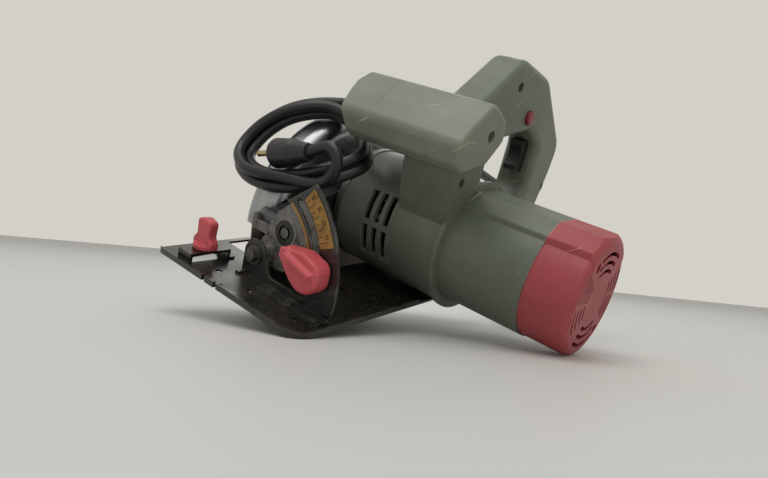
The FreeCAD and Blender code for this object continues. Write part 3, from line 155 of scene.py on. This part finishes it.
def scratchMask(material, coords, look):
    # thin broken lines: the narrow crest of a bent wave, kept only in some patches
    bend = addNode(material, "ShaderNodeTexNoise",
                   {"Scale": mmScale(look["scratchBendMm"]), "Detail": 1.0}, {"Vector": coords})
    pushed = addNode(material, "ShaderNodeVectorMath",
                     {"operation": "MULTIPLY_ADD", 1: (skinLook["scratchBend"],) * 3},
                     {0: bend.outputs["Color"], 2: coords})
    turned = addNode(material, "ShaderNodeMapping", {"Rotation": skinLook["scratchTurn"]},
                     {"Vector": pushed.outputs["Vector"]})
    wave = addNode(material, "ShaderNodeTexWave",
                   {"Scale": mmScale(look["scratchGapMm"]) * skinLook["waveLength"], "Distortion": 3.0,
                    "Detail": 2.0, "Detail Scale": 0.6}, {"Vector": turned.outputs["Vector"]})
    crest = addNode(material, "ShaderNodeMapRange", {"From Min": skinLook["crestFrom"], "From Max": 1.0},
                    {"Value": wave.outputs["Fac"]})
    patches = addNode(material, "ShaderNodeTexNoise",
                      {"Scale": mmScale(skinLook["scratchPatchMm"]), "Detail": 1.0},
                      {"Vector": turned.outputs["Vector"]})
    kept = addNode(material, "ShaderNodeMapRange",
                   {"From Min": skinLook["scratchPatchFrom"], "From Max": skinLook["scratchPatchTo"]},
                   {"Value": patches.outputs["Fac"]})
    both = addNode(material, "ShaderNodeMath", {"operation": "MULTIPLY", "use_clamp": True},
                   {0: crest.outputs["Result"], 1: kept.outputs["Result"]})
    return both.outputs["Value"]


def dirtMask(material, coords, look):
    spots = addNode(material, "ShaderNodeTexNoise",
                    {"Scale": mmScale(look["dirtMm"]), "Detail": 8.0, "Roughness": 0.7}, {"Vector": coords})
    dirt = addNode(material, "ShaderNodeMapRange",
                   {"From Min": look["dirtFrom"], "From Max": look["dirtFrom"] + skinLook["dirtSpan"],
                    "To Max": look["dirtMost"]}, {"Value": spots.outputs["Fac"]})
    return dirt.outputs["Result"]


def dustMask(material, coords, look):
    # sawdust and dust settle on what faces up
    facing = addNode(material, "ShaderNodeNewGeometry")
    split = addNode(material, "ShaderNodeSeparateXYZ", {}, {0: facing.outputs["Normal"]})
    specks = addNode(material, "ShaderNodeTexNoise",
                     {"Scale": mmScale(look["dustMm"]), "Detail": 6.0, "Roughness": 0.75}, {"Vector": coords})
    both = addNode(material, "ShaderNodeMath", {"operation": "MULTIPLY"},
                   {0: split.outputs["Z"], 1: specks.outputs["Fac"]})
    dust = addNode(material, "ShaderNodeMapRange",
                   {"From Min": look["dustFrom"], "From Max": look["dustFrom"] + skinLook["dustSpan"],
                    "To Max": look["dustMost"]}, {"Value": both.outputs["Value"]})
    return dust.outputs["Result"]


def wornSurface(name, look):
    # one recipe for moulded, painted and bare metal skins: two tones in broad patches, then the layers that
    # the skin has, fine grain and an uneven sheen
    material, shader = newMaterial(name)
    coords = addNode(material, "ShaderNodeTexCoord").outputs["Object"]
    patches = addNode(material, "ShaderNodeTexNoise",
                      {"Scale": mmScale(look["patchMm"]), "Detail": 4.0, "Roughness": 0.6},
                      {"Vector": coords})
    spread = addNode(material, "ShaderNodeMapRange",
                     {"From Min": skinLook["patchFrom"], "From Max": skinLook["patchTo"]},
                     {"Value": patches.outputs["Fac"]})
    tones = {"data_type": "RGBA", 6: hexColor(look["color"]), 7: hexColor(look["patchColor"])}
    color = addNode(material, "ShaderNodeMix", tones, {0: spread.outputs["Result"]}).outputs[2]
    layers = {"dirt": dirtMask, "dustTop": dustMask, "scratch": scratchMask, "edge": edgeMask}
    for layer, makeMask in layers.items():
        if layer in look:
            color = addNode(material, "ShaderNodeMix", {"data_type": "RGBA", 7: hexColor(look[layer])},
                            {0: makeMask(material, coords, look), 6: color}).outputs[2]
    grain = addNode(material, "ShaderNodeTexNoise", {"Scale": mmScale(look["grainMm"]), "Detail": 3.0},
                    {"Vector": coords})
    bump = addNode(material, "ShaderNodeBump",
                   {"Strength": look["grainStrength"], "Distance": skinLook["grainDepthMm"] / 1000},
                   {"Height": grain.outputs["Fac"]})
    uneven = addNode(material, "ShaderNodeTexNoise",
                     {"Scale": mmScale(look["patchMm"] * skinLook["sheenShare"]), "Detail": 5.0},
                     {"Vector": coords})
    rough = addNode(material, "ShaderNodeMapRange",
                    {"From Min": skinLook["sheenFrom"], "From Max": skinLook["sheenTo"],
                     "To Min": look["rough"] - look["roughSpread"],
                     "To Max": look["rough"] + look["roughSpread"]},
                    {"Value": uneven.outputs["Fac"]})
    links = material.node_tree.links
    links.new(color, shader.inputs["Base Color"])
    links.new(rough.outputs["Result"], shader.inputs["Roughness"])
    links.new(bump.outputs["Normal"], shader.inputs["Normal"])
    if "metallic" in look:
        shader.inputs["Metallic"].default_value = look["metallic"]
    else:
        shader.inputs["IOR"].default_value = skinLook["plasticIor"]
    if "coat" in look:
        shader.inputs["Coat Weight"].default_value = look["coat"]
        shader.inputs["Coat Roughness"].default_value = look["coatRough"]
    return material


# glass-filled nylon from a spark-finished mould: satin, a little soiled, corners rubbed pale
housingNylon = {"color": "#6a7163", "patchColor": "#5d6456", "patchMm": 60,
                "dirt": "#4b4d3e", "dirtMm": 26, "dirtFrom": 0.58, "dirtMost": 0.45,
                "scratch": "#a3a78f", "scratchBendMm": 60, "scratchGapMm": 26,
                "edge": "#a09d84", "edgeMm": 0.8, "edgePatchMm": 14, "edgeWear": 0.4,
                "grainMm": 1.1, "grainStrength": 0.22, "rough": 0.46, "roughSpread": 0.07}
gripNylon = dict(housingNylon, color="#7c8170", patchColor="#70766a", dirt="#5c5c4a", dirtFrom=0.6,
                 dirtMost=0.4, scratch="#bfc0a8", scratchGapMm=18, edge="#a9aa94", rough=0.43)
handleNylon = dict(housingNylon, color="#6f7667", patchColor="#646b5d")
# red cap and knobs: the same nylon, faded by light and scuffed on the ridges
capNylon = dict(housingNylon, color="#ab474c", patchColor="#a03f44", dirt="#7c3a3a", dirtMm=18, dirtFrom=0.6,
                scratch="#cf8a88", edge="#cf9390", edgeWear=0.5, rough=0.5)
knobNylon = dict(capNylon, color="#cf565c", patchColor="#c24d54", edge="#dc9996", edgeMm=1.1, edgePatchMm=8,
                 patchMm=18, rough=0.48)
# lock button: polished ABS
buttonAbs = dict(capNylon, color="#8c1f26", patchColor="#7c181f", grainStrength=0.03, rough=0.22,
                 roughSpread=0.05, dirtMost=0.2, edgeWear=0.15)
# trigger, switch, fan and lever: black ABS, greyed by dust and rubbed at its corners
blackAbs = dict(housingNylon, color="#1b1b1a", patchColor="#232321", dirt="#3a3831", dirtMost=0.35,
                scratch="#4a4a46", edge="#50504b", rough=0.42)
# die-cast housing: grey skin with oil and dust in the corners
caseCasting = {"color": "#5c5e61", "patchColor": "#4a4c4f", "patchMm": 25,
               "dirt": "#2c2823", "dirtMm": 12, "dirtFrom": 0.5, "dirtMost": 0.7,
               "dustTop": "#6d5f47", "dustMm": 3, "dustFrom": 0.42, "dustMost": 0.5,
               "edge": "#a8a69c", "edgeMm": 0.8, "edgePatchMm": 10, "edgeWear": 0.6,
               "grainMm": 1.4, "grainStrength": 0.5, "rough": 0.5, "roughSpread": 0.12, "metallic": 0.85}
# guard: polished die casting, stained yellow brown towards its rim
guardCasting = {"color": "#aeb0b3", "patchColor": "#96989c", "patchMm": 34,
                "dirt": "#6a5c48", "dirtMm": 16, "dirtFrom": 0.6, "dirtMost": 0.6,
                "scratch": "#c9c9c6", "scratchBendMm": 40, "scratchGapMm": 16,
                "edge": "#b98f4c", "edgeMm": 1.4, "edgePatchMm": 12, "edgeWear": 0.9,
                "grainMm": 0.9, "grainStrength": 0.12, "rough": 0.3, "roughSpread": 0.08, "metallic": 1.0}
# pressed lower guard: sheet steel, browned and polished by chips
lowerGuardSteel = dict(guardCasting, color="#3f3d3a", patchColor="#2f2d2b", dirt="#4a3a28", dirtFrom=0.5,
                       edge="#8a8176", rough=0.42)
# bearing plate: plain machined casting
plateCasting = dict(guardCasting, color="#8d8e8a", patchColor="#7c7d79", edge="#c8c8c0", rough=0.4)
# bright zinc or ground steel, dulled by handling
bareSteel = {"color": "#77756f", "patchColor": "#65635e", "patchMm": 9,
             "dirt": "#4b3b2b", "dirtMm": 5, "dirtFrom": 0.6, "dirtMost": 0.7,
             "edge": "#b5b2aa", "edgeMm": 0.4, "edgePatchMm": 4, "edgeWear": 0.6,
             "grainMm": 0.8, "grainStrength": 0.15, "rough": 0.36, "roughSpread": 0.1, "metallic": 1.0}
# motor inside and plug pins: ground shafts, stacked sheets, lacquered wire, turned copper, brass, graphite
groundSteel = dict(bareSteel, color="#9a9a98", patchColor="#8a8a88", dirtMost=0.2, rough=0.25)
stackedSteel = dict(bareSteel, color="#5d5b58", patchColor="#504e4b", rough=0.5)
copperWire = dict(bareSteel, color="#9c5a2e", patchColor="#834823", dirt="#5a2c14", rough=0.38)
turnedCopper = dict(copperWire, color="#b5764c", patchColor="#9f653f", rough=0.28)
pinBrass = dict(bareSteel, color="#c2b48a", patchColor="#b0a176", rough=0.25, dirtMost=0.3)
graphite = dict(blackAbs, color="#1d1d1f", patchColor="#28282a", rough=0.55)
# tilt bracket: light grey enamel on a pressing, pitted and greasy
bracketEnamel = {"color": "#7e7c76", "patchColor": "#6a6861", "patchMm": 16,
                 "dirt": "#2f291e", "dirtMm": 9, "dirtFrom": 0.52, "dirtMost": 0.9,
                 "dustTop": "#5d4a2f", "dustMm": 2.5, "dustFrom": 0.46, "dustMost": 0.7,
                 "scratch": "#a9a79e", "scratchBendMm": 20, "scratchGapMm": 9,
                 "edge": "#b4b1a6", "edgeMm": 0.8, "edgePatchMm": 6, "edgeWear": 0.6,
                 "grainMm": 1.2, "grainStrength": 0.4, "rough": 0.45, "roughSpread": 0.12}
# sole: black stove enamel, glossy where clean, bright at rubbed corners, sawdust caught in the paint
soleEnamel = {"color": "#121211", "patchColor": "#1b1a18", "patchMm": 30,
              "dirt": "#3b3022", "dirtMm": 9, "dirtFrom": 0.56, "dirtMost": 0.75,
              "dustTop": "#5b4a33", "dustMm": 3, "dustFrom": 0.5, "dustMost": 0.65,
              "scratch": "#6d6a62", "scratchBendMm": 40, "scratchGapMm": 12,
              "edge": "#7d786c", "edgeMm": 0.6, "edgePatchMm": 12, "edgeWear": 0.3,
              "grainMm": 1.6, "grainStrength": 0.18, "rough": 0.3, "roughSpread": 0.12,
              "coat": 0.35, "coatRough": 0.2}
quadrantEnamel = dict(soleEnamel, color="#1b1b1b", patchColor="#252422", edge="#aaa492", edgeWear=0.5,
                      dirtMost=0.4, dustMost=0.3)
# scale: lacquered brass strip, browned
scaleBrass = {"color": "#a98040", "patchColor": "#8a6730", "patchMm": 9,
              "dirt": "#3c2c18", "dirtMm": 5, "dirtFrom": 0.55, "dirtMost": 0.8,
              "scratch": "#c0a468", "scratchBendMm": 12, "scratchGapMm": 6,
              "edge": "#c8ad72", "edgeMm": 0.4, "edgePatchMm": 4, "edgeWear": 0.6,
              "grainMm": 0.7, "grainStrength": 0.1, "rough": 0.42, "roughSpread": 0.1, "metallic": 0.4}
# printed marks of the scale: worn black ink
scaleInk = {"color": "#241a10", "patchColor": "#33261a", "patchMm": 3,
            "grainMm": 0.5, "grainStrength": 0.1, "rough": 0.6, "roughSpread": 0.05}
# cable sheath and plug: black PVC and rubber, soft sheen, dust clings to it
cordRubber = {"color": "#121213", "patchColor": "#1b1b1c", "patchMm": 35,
              "dirt": "#34322c", "dirtMm": 10, "dirtFrom": 0.62, "dirtMost": 0.35,
              "grainMm": 0.8, "grainStrength": 0.12, "rough": 0.42, "roughSpread": 0.08}
plugRubber = dict(cordRubber, color="#1a1a1b", patchColor="#232324", rough=0.38, edge="#3c3c3b", edgeMm=0.8,
                  edgePatchMm=8, edgeWear=0.5)
# blade: rolled steel, browned by resin
bladeSteel = dict(bareSteel, color="#6d6a64", patchColor="#5b5852", dirt="#5a3a20", dirtMm=14, dirtFrom=0.55)

finishes = {
    "housingNylon": (housingNylon, ["motor_housing_front", "motor_housing_rear", "grip_neck"]),
    "handleNylon": (handleNylon, ["handle_shell_left", "handle_shell_right"]),
    "gripNylon": (gripNylon, ["front_grip", "front_grip_end"]),
    "capNylon": (capNylon, ["end_cap"]),
    "knobNylon": (knobNylon, ["bevel_knob", "fence_knob"]),
    "buttonAbs": (buttonAbs, ["lock_button"]),
    "blackAbs": (blackAbs, ["trigger", "switch_body", "cooling_fan", "depth_lock_lever"]),
    "caseCasting": (caseCasting, ["gear_housing"]),
    "guardCasting": (guardCasting, ["upper_guard"]),
    "lowerGuardSteel": (lowerGuardSteel, ["lower_guard", "guard_lever"]),
    "plateCasting": (plateCasting, ["bearing_plate"]),
    "bareSteel": (bareSteel, ["housing_screws", "handle_screws", "depth_hinge_pin", "depth_lock_bolt",
                              "blade_bolt", "bracket_fasteners", "sole_rivets", "pivot_bolts", "fence_screw",
                              "guard_spring", "guard_circlip", "trigger_springs", "lock_button_spring"]),
    "groundSteel": (groundSteel, ["bearings", "armature_shaft", "output_spindle", "blade_flanges", "pinion",
                                  "drive_gear"]),
    "stackedSteel": (stackedSteel, ["field_core", "armature_core"]),
    "copperWire": (copperWire, ["field_coils", "armature_windings"]),
    "turnedCopper": (turnedCopper, ["commutator", "brush_holders"]),
    "graphite": (graphite, ["carbon_brushes"]),
    "bracketEnamel": (bracketEnamel, ["tilt_bracket"]),
    "soleEnamel": (soleEnamel, ["sole", "rear_pivot_ear", "fence_clamp"]),
    "quadrantEnamel": (quadrantEnamel, ["bevel_quadrant", "depth_arc"]),
    "scaleBrass": (scaleBrass, ["bevel_scale"]),
    "bladeSteel": (bladeSteel, ["blade"]),
    "scaleInk": (scaleInk, []),
    "plugRubber": (plugRubber, ["plug_body", "strain_relief", "bracket_bush"]),
    "pinBrass": (pinBrass, ["plug_pins"]),
    "cordRubber": (cordRubber, ["cord_lead", "cord_coil"]),
}
materials = {}
for name, (look, nodeNames) in finishes.items():
    materials[name] = wornSurface(name, look)
    for nodeName in nodeNames:
        mesh = nodes[nodeName].data
        mesh.materials.clear()
        mesh.materials.append(materials[name])
print("materials made:", len(materials))


# mains cord: a lead round behind the saw, a coil wound by a loop, and a turn back into the plug
cordLook = {
    "diameterMm": 9.4, "exitMm": (-179.4, 105, 11.0), "stepsPerPoint": 8, "roundSteps": 5,
    "turns": 2.55, "bundleMm": 5.6, "lapDegrees": 120,  # each lap's shift off the middle, and its turn
    "leadMm": [(-163.6, 105, 35.0), (-190.0, 105, -5.1), (-203, 103, -38), (-237, 98, -61),
               (-279, 90, -57), (-308, 79, -25), (-308, 69, 19), (-279, 62, 53), (-224, 59, 67),
               (-176, 59, 82), (-128, 59, 96), (-84, 58, 111), (-42, 45, 127), (-4, 29, 139)],
    "coilMm": [(44, 5, 133.8), (63, -21.5, 122), (76, -36, 105), (87, -40.5, 88), (96, -36, 77.5),
               (104, -23, 73), (108.6, -5, 70.5), (108.4, 20, 72), (98, 43, 79.5), (79.5, 62, 93),
               (59, 70, 104.5), (43, 54, 113.5), (38, 30, 129)],
    "plugMm": [(106, 34, 79), (103.5, 52, 80), (101, 66, 84), (99.5, 74, 94), (99, 74, 106), (99, 66, 113),
               (99, 56, 110), (98.7, 43, 102.4)],
}


def cordPath(look):
    loop = [Vector(p) for p in look["coilMm"]]
    count = len(loop)
    middle = sum(loop, Vector()) / count
    points = [Vector(p) for p in look["leadMm"]]
    for step in range(int(look["turns"] * count)):
        here = loop[step % count]
        along = (loop[(step + 1) % count] - loop[(step - 1) % count]).normalized()
        away = here - middle
        outward = (away - along * away.dot(along)).normalized()
        side = along.cross(outward)
        angle = math.radians(look["lapDegrees"] * step / count)  # keeps the laps apart
        points.append(here + (outward * math.cos(angle) + side * math.sin(angle)) * look["bundleMm"])
    points += [Vector(p) for p in look["plugMm"]]
    return [place(*p) for p in points]


def curveLength(curveObject):
    mesh = bpy.data.meshes.new_from_object(curveObject)
    ends = [[mesh.vertices[index].co for index in edge.vertices] for edge in mesh.edges]
    total = sum((first - second).length for first, second in ends)
    bpy.data.meshes.remove(mesh)
    return total


def makeCord(look, plugShell):
    points = cordPath(look)
    data = bpy.data.curves.new("mainsCord", "CURVE")
    data.dimensions = "3D"
    data.resolution_u = look["stepsPerPoint"]
    spline = data.splines.new("NURBS")
    spline.points.add(len(points) - 1)
    for target, point in zip(spline.points, points):
        target.co = (*point, 1.0)
    spline.order_u = 3
    spline.use_endpoint_u = True
    cord = bpy.data.objects.new("mainsCord", data)
    bpy.context.scene.collection.objects.link(cord)
    bpy.context.view_layer.update()
    length = curveLength(cord)
    data.bevel_depth = look["diameterMm"] / 2000
    data.bevel_resolution = look["roundSteps"]
    data.use_fill_caps = True
    data.materials.append(materials["cordRubber"])
    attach(cord, "body")
    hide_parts("cord_lead", "cord_coil")
    print("mains cord, metres:", round(length, 3))


# knobs and plug, softened from their CAD shapes
def softCopy(name, nodeName, body, look):
    # the CAD shape with its added ribs melted into one moulded skin
    source = nodes[nodeName]
    piece = source.copy()
    piece.data = source.data.copy()
    piece.name = name
    bpy.context.scene.collection.objects.link(piece)
    bpy.ops.object.select_all(action="DESELECT")
    piece.select_set(True)
    bpy.context.view_layer.objects.active = piece
    bpy.ops.object.mode_set(mode="EDIT")
    bpy.ops.mesh.select_all(action="SELECT")
    bpy.ops.mesh.remove_doubles(threshold=look["mergeMm"] / 1000)
    bpy.ops.object.mode_set(mode="OBJECT")
    if "depthShare" in look:
        # made flatter from its back outwards, while the saw still stands upright
        back = Matrix.Translation((look["backMm"] / 1000, 0, 0))
        press = back @ Matrix.Diagonal((look["depthShare"], 1, 1, 1)) @ back.inverted()
        piece.data.transform(restMatrix @ press @ restMatrix.inverted())
    for rib in look.get("ribs", []):
        addRib(piece, rib)
    melt = piece.modifiers.new("melt", "REMESH")
    melt.mode = "VOXEL"
    melt.voxel_size = look["voxelMm"] / 1000
    bpy.ops.object.modifier_apply(modifier="melt")
    rub = piece.modifiers.new("rub", "SMOOTH")
    rub.factor = look["rubShare"]
    rub.iterations = look["rubs"]
    bpy.ops.object.modifier_apply(modifier="rub")
    bpy.ops.object.shade_smooth()
    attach(piece, body)
    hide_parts(nodeName)
    print(name, "made,", len(piece.data.polygons), "faces")
    return piece


def addRib(piece, rib):
    # a tapered bar, drawn upright on the saw and then laid down with it
    bpy.ops.mesh.primitive_cube_add(size=1)
    bar = bpy.context.object
    bpy.ops.object.mode_set(mode="EDIT")
    bpy.ops.transform.resize(value=tuple(v / 1000 for v in rib["sizeMm"]))
    bpy.ops.mesh.subdivide(number_cuts=rib["cuts"])
    bpy.ops.mesh.select_all(action="DESELECT")
    bpy.ops.object.mode_set(mode="OBJECT")
    for vertex in bar.data.vertices:
        vertex.select = vertex.co.x > rib["crestFromMm"] / 1000  # the crest of the rib, narrowed
    bpy.ops.object.mode_set(mode="EDIT")
    bpy.ops.transform.resize(value=(1.0, rib["endTaper"], rib["crestTaper"]))
    bpy.ops.object.mode_set(mode="OBJECT")
    turn = Matrix.Rotation(math.radians(rib["turnDegrees"]), 4, "X")
    bar.data.transform(restMatrix @ Matrix.Translation(Vector(rib["placeMm"]) / 1000) @ turn)
    piece.select_set(True)
    bar.select_set(True)
    bpy.context.view_layer.objects.active = piece
    bpy.ops.object.join()


bevelKnobLook = {"mergeMm": 0.02, "voxelMm": 0.7, "rubs": 6, "rubShare": 0.5, "backMm": 135.2,
                 "depthShare": 0.74, "ribs": [
                     {"sizeMm": (12, 35, 9), "placeMm": (146.4, 102.5, 38.5), "turnDegrees": -14, "cuts": 3,
                      "crestFromMm": 0.1, "endTaper": 0.8, "crestTaper": 0.4}]}
fenceKnobLook = {"mergeMm": 0.02, "voxelMm": 0.6, "rubs": 5, "rubShare": 0.5}
plugLook = {"mergeMm": 0.02, "voxelMm": 0.7, "rubs": 12, "rubShare": 0.5}
softCopy("bevelKnob", "bevel_knob", "bevel_knob", bevelKnobLook)
softCopy("fenceKnob", "fence_knob", "fence_knob", fenceKnobLook)
makeCord(cordLook, softCopy("plugShell", "plug_body", "body", plugLook))


# printed marks of the bevel scale, as raised ink on the brass strip
scaleLook = {"centreMm": (41.5, 20.2), "faceMm": 133.5, "inkMm": 0.15, "innerMm": 71.2,
             "shortMm": 3.2, "longMm": 5.5, "tickWidthMm": 0.55, "tickRoundMm": 0.05,
             "tickFrom": 28.0, "tickStep": 3.5, "tickCount": 8,
             "numbers": [("0", 30.5), ("15", 38.0), ("30", 45.0), ("45", 52.0)], "numberMm": 79.0,
             "letterMm": 4.6}


def onScale(radius, angle, x):
    turn = math.radians(angle)
    y, z = scaleLook["centreMm"]
    return place(x, y + radius * math.cos(turn), z + radius * math.sin(turn))


def scaleTurn(angle):
    # local X along the radius, local Y along the arc, local Z out of the quadrant
    turn = math.radians(angle)
    along = Vector((0, math.cos(turn), math.sin(turn)))
    across = Vector((0, -math.sin(turn), math.cos(turn)))
    return (restTurn @ Matrix((along, across, Vector((1, 0, 0)))).transposed()).to_4x4()


def makeScaleMarks(look):
    marks = []
    for index in range(look["tickCount"]):
        angle = look["tickFrom"] + index * look["tickStep"]
        length = look["longMm"] if index % 2 == 0 else look["shortMm"]
        bpy.ops.mesh.primitive_cube_add(size=1)
        tick = bpy.context.object
        bpy.ops.object.mode_set(mode="EDIT")
        bpy.ops.transform.resize(value=(length / 1000, look["tickWidthMm"] / 1000, look["inkMm"] / 1000))
        bpy.ops.mesh.bevel(offset=look["tickRoundMm"] / 1000, segments=1)
        bpy.ops.object.mode_set(mode="OBJECT")
        spot = onScale(look["innerMm"] + length / 2, angle, look["faceMm"] + look["inkMm"] / 2)
        tick.data.transform(Matrix.Translation(spot) @ scaleTurn(angle))
        marks.append(tick)
    for text, angle in look["numbers"]:
        bpy.ops.object.text_add()
        number = bpy.context.object
        number.data.body = text
        number.data.size = look["letterMm"] / 1000
        number.data.extrude = look["inkMm"] / 2000
        number.data.align_x = "CENTER"
        number.data.align_y = "CENTER"
        bpy.ops.object.convert(target="MESH")
        spot = onScale(look["numberMm"], angle, look["faceMm"] + look["inkMm"] / 2)
        number.data.transform(Matrix.Translation(spot) @ scaleTurn(angle))
        marks.append(number)
    bpy.ops.object.select_all(action="DESELECT")
    for mark in marks:
        mark.select_set(True)
    bpy.context.view_layer.objects.active = marks[0]
    bpy.ops.object.join()
    joinedMarks = bpy.context.object
    joinedMarks.name = "scaleMarks"
    joinedMarks.data.materials.clear()
    joinedMarks.data.materials.append(materials["scaleInk"])
    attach(joinedMarks, "base")
    print("scale marks made")


makeScaleMarks(scaleLook)


# worn brass line along the inner edge of the quadrant
bandLook = {"innerMm": 57.4, "outerMm": 59.6, "faceMm": 133.0, "thickMm": 0.25,
            "startDegrees": 20, "endDegrees": 61, "steps": 24, "mergeMm": 0.01}


def makeBand(look):
    bpy.ops.mesh.primitive_plane_add(size=1)
    band = bpy.context.object
    band.name = "quadrantLine"
    width = look["outerMm"] - look["innerMm"]
    bpy.ops.object.mode_set(mode="EDIT")
    bpy.ops.transform.resize(value=(look["thickMm"] / 1000, width / 1000, 1.0))
    bpy.ops.transform.translate(value=((look["faceMm"] + look["thickMm"] / 2) / 1000,
                                       (look["innerMm"] + width / 2) / 1000, 0))
    sweep = math.radians(look["endDegrees"] - look["startDegrees"])
    bpy.ops.mesh.spin(steps=look["steps"], angle=-sweep, center=(0, 0, 0), axis=(1, 0, 0))
    bpy.ops.mesh.select_all(action="SELECT")
    bpy.ops.mesh.remove_doubles(threshold=look["mergeMm"] / 1000)
    bpy.ops.mesh.normals_make_consistent(inside=False)
    bpy.ops.object.mode_set(mode="OBJECT")
    y, z = scaleLook["centreMm"]
    start = Matrix.Rotation(math.radians(look["startDegrees"]), 4, "X")
    band.data.transform(restMatrix @ Matrix.Translation((0, y / 1000, z / 1000)) @ start)
    band.data.materials.append(materials["scaleBrass"])
    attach(band, "base")
    print("quadrant line made")


makeBand(bandLook)


# room: a painted table against a pale wall, and soft lamps around it
roomLook = {"floor": "#d9d7d2", "floorSize": 8.0, "floorRough": 0.55, "wall": "#d3d0c8",
            "sky": "#f1f2f0", "skyStrength": 0.45}
lampLooks = {"ceiling": {"watts": 13.0, "size": 1.4, "place": (0.5, 0.1, 1.7)},
             "window": {"watts": 3.0, "size": 1.2, "place": (1.3, 1.3, 0.9)},
             "back": {"watts": 4.0, "size": 1.0, "place": (-1.2, -0.9, 1.2)}}


def makeTable(look):
    bpy.ops.mesh.primitive_plane_add(size=look["floorSize"], location=(0, 0, 0))
    floor = bpy.context.object
    floor.name = "floor"
    paint, shader = newMaterial("paintedTable")
    shader.inputs["Base Color"].default_value = hexColor(look["floor"])
    shader.inputs["Roughness"].default_value = look["floorRough"]
    floor.data.materials.append(paint)


def makeWall(look):
    # the camera, gloss and glass see the wall, while all else gets the light of the sky
    world = bpy.data.worlds.new("room")
    world.use_nodes = True
    world.node_tree.nodes.clear()
    path = addNode(world, "ShaderNodeLightPath")
    mirrored = addNode(world, "ShaderNodeMath", {"operation": "MAXIMUM"},
                       {0: path.outputs["Is Glossy Ray"], 1: path.outputs["Is Transmission Ray"]})
    seen = addNode(world, "ShaderNodeMath", {"operation": "MAXIMUM"},
                   {0: path.outputs["Is Camera Ray"], 1: mirrored.outputs["Value"]})
    light = addNode(world, "ShaderNodeBackground",
                    {"Color": hexColor(look["sky"]), "Strength": look["skyStrength"]})
    wall = addNode(world, "ShaderNodeBackground", {"Color": hexColor(look["wall"])})
    mix = addNode(world, "ShaderNodeMixShader", {},
                  {"Fac": seen.outputs["Value"], 1: light.outputs["Background"],
                   2: wall.outputs["Background"]})
    addNode(world, "ShaderNodeOutputWorld", {}, {"Surface": mix.outputs["Shader"]})
    bpy.context.scene.world = world


def addLamp(name, look, aim):
    data = bpy.data.lights.new(name, "AREA")
    data.energy = look["watts"]
    data.size = look["size"]
    lamp = bpy.data.objects.new(name, data)
    bpy.context.scene.collection.objects.link(lamp)
    lamp.location = look["place"]
    lamp.rotation_euler = (aim - Vector(look["place"])).to_track_quat("-Z", "Y").to_euler()


makeTable(roomLook)
makeWall(roomLook)
for name, look in lampLooks.items():
    addLamp(name, look, (cadBox[0] + cadBox[1]) / 2)
print("room made")

bpy.context.view_layer.update()
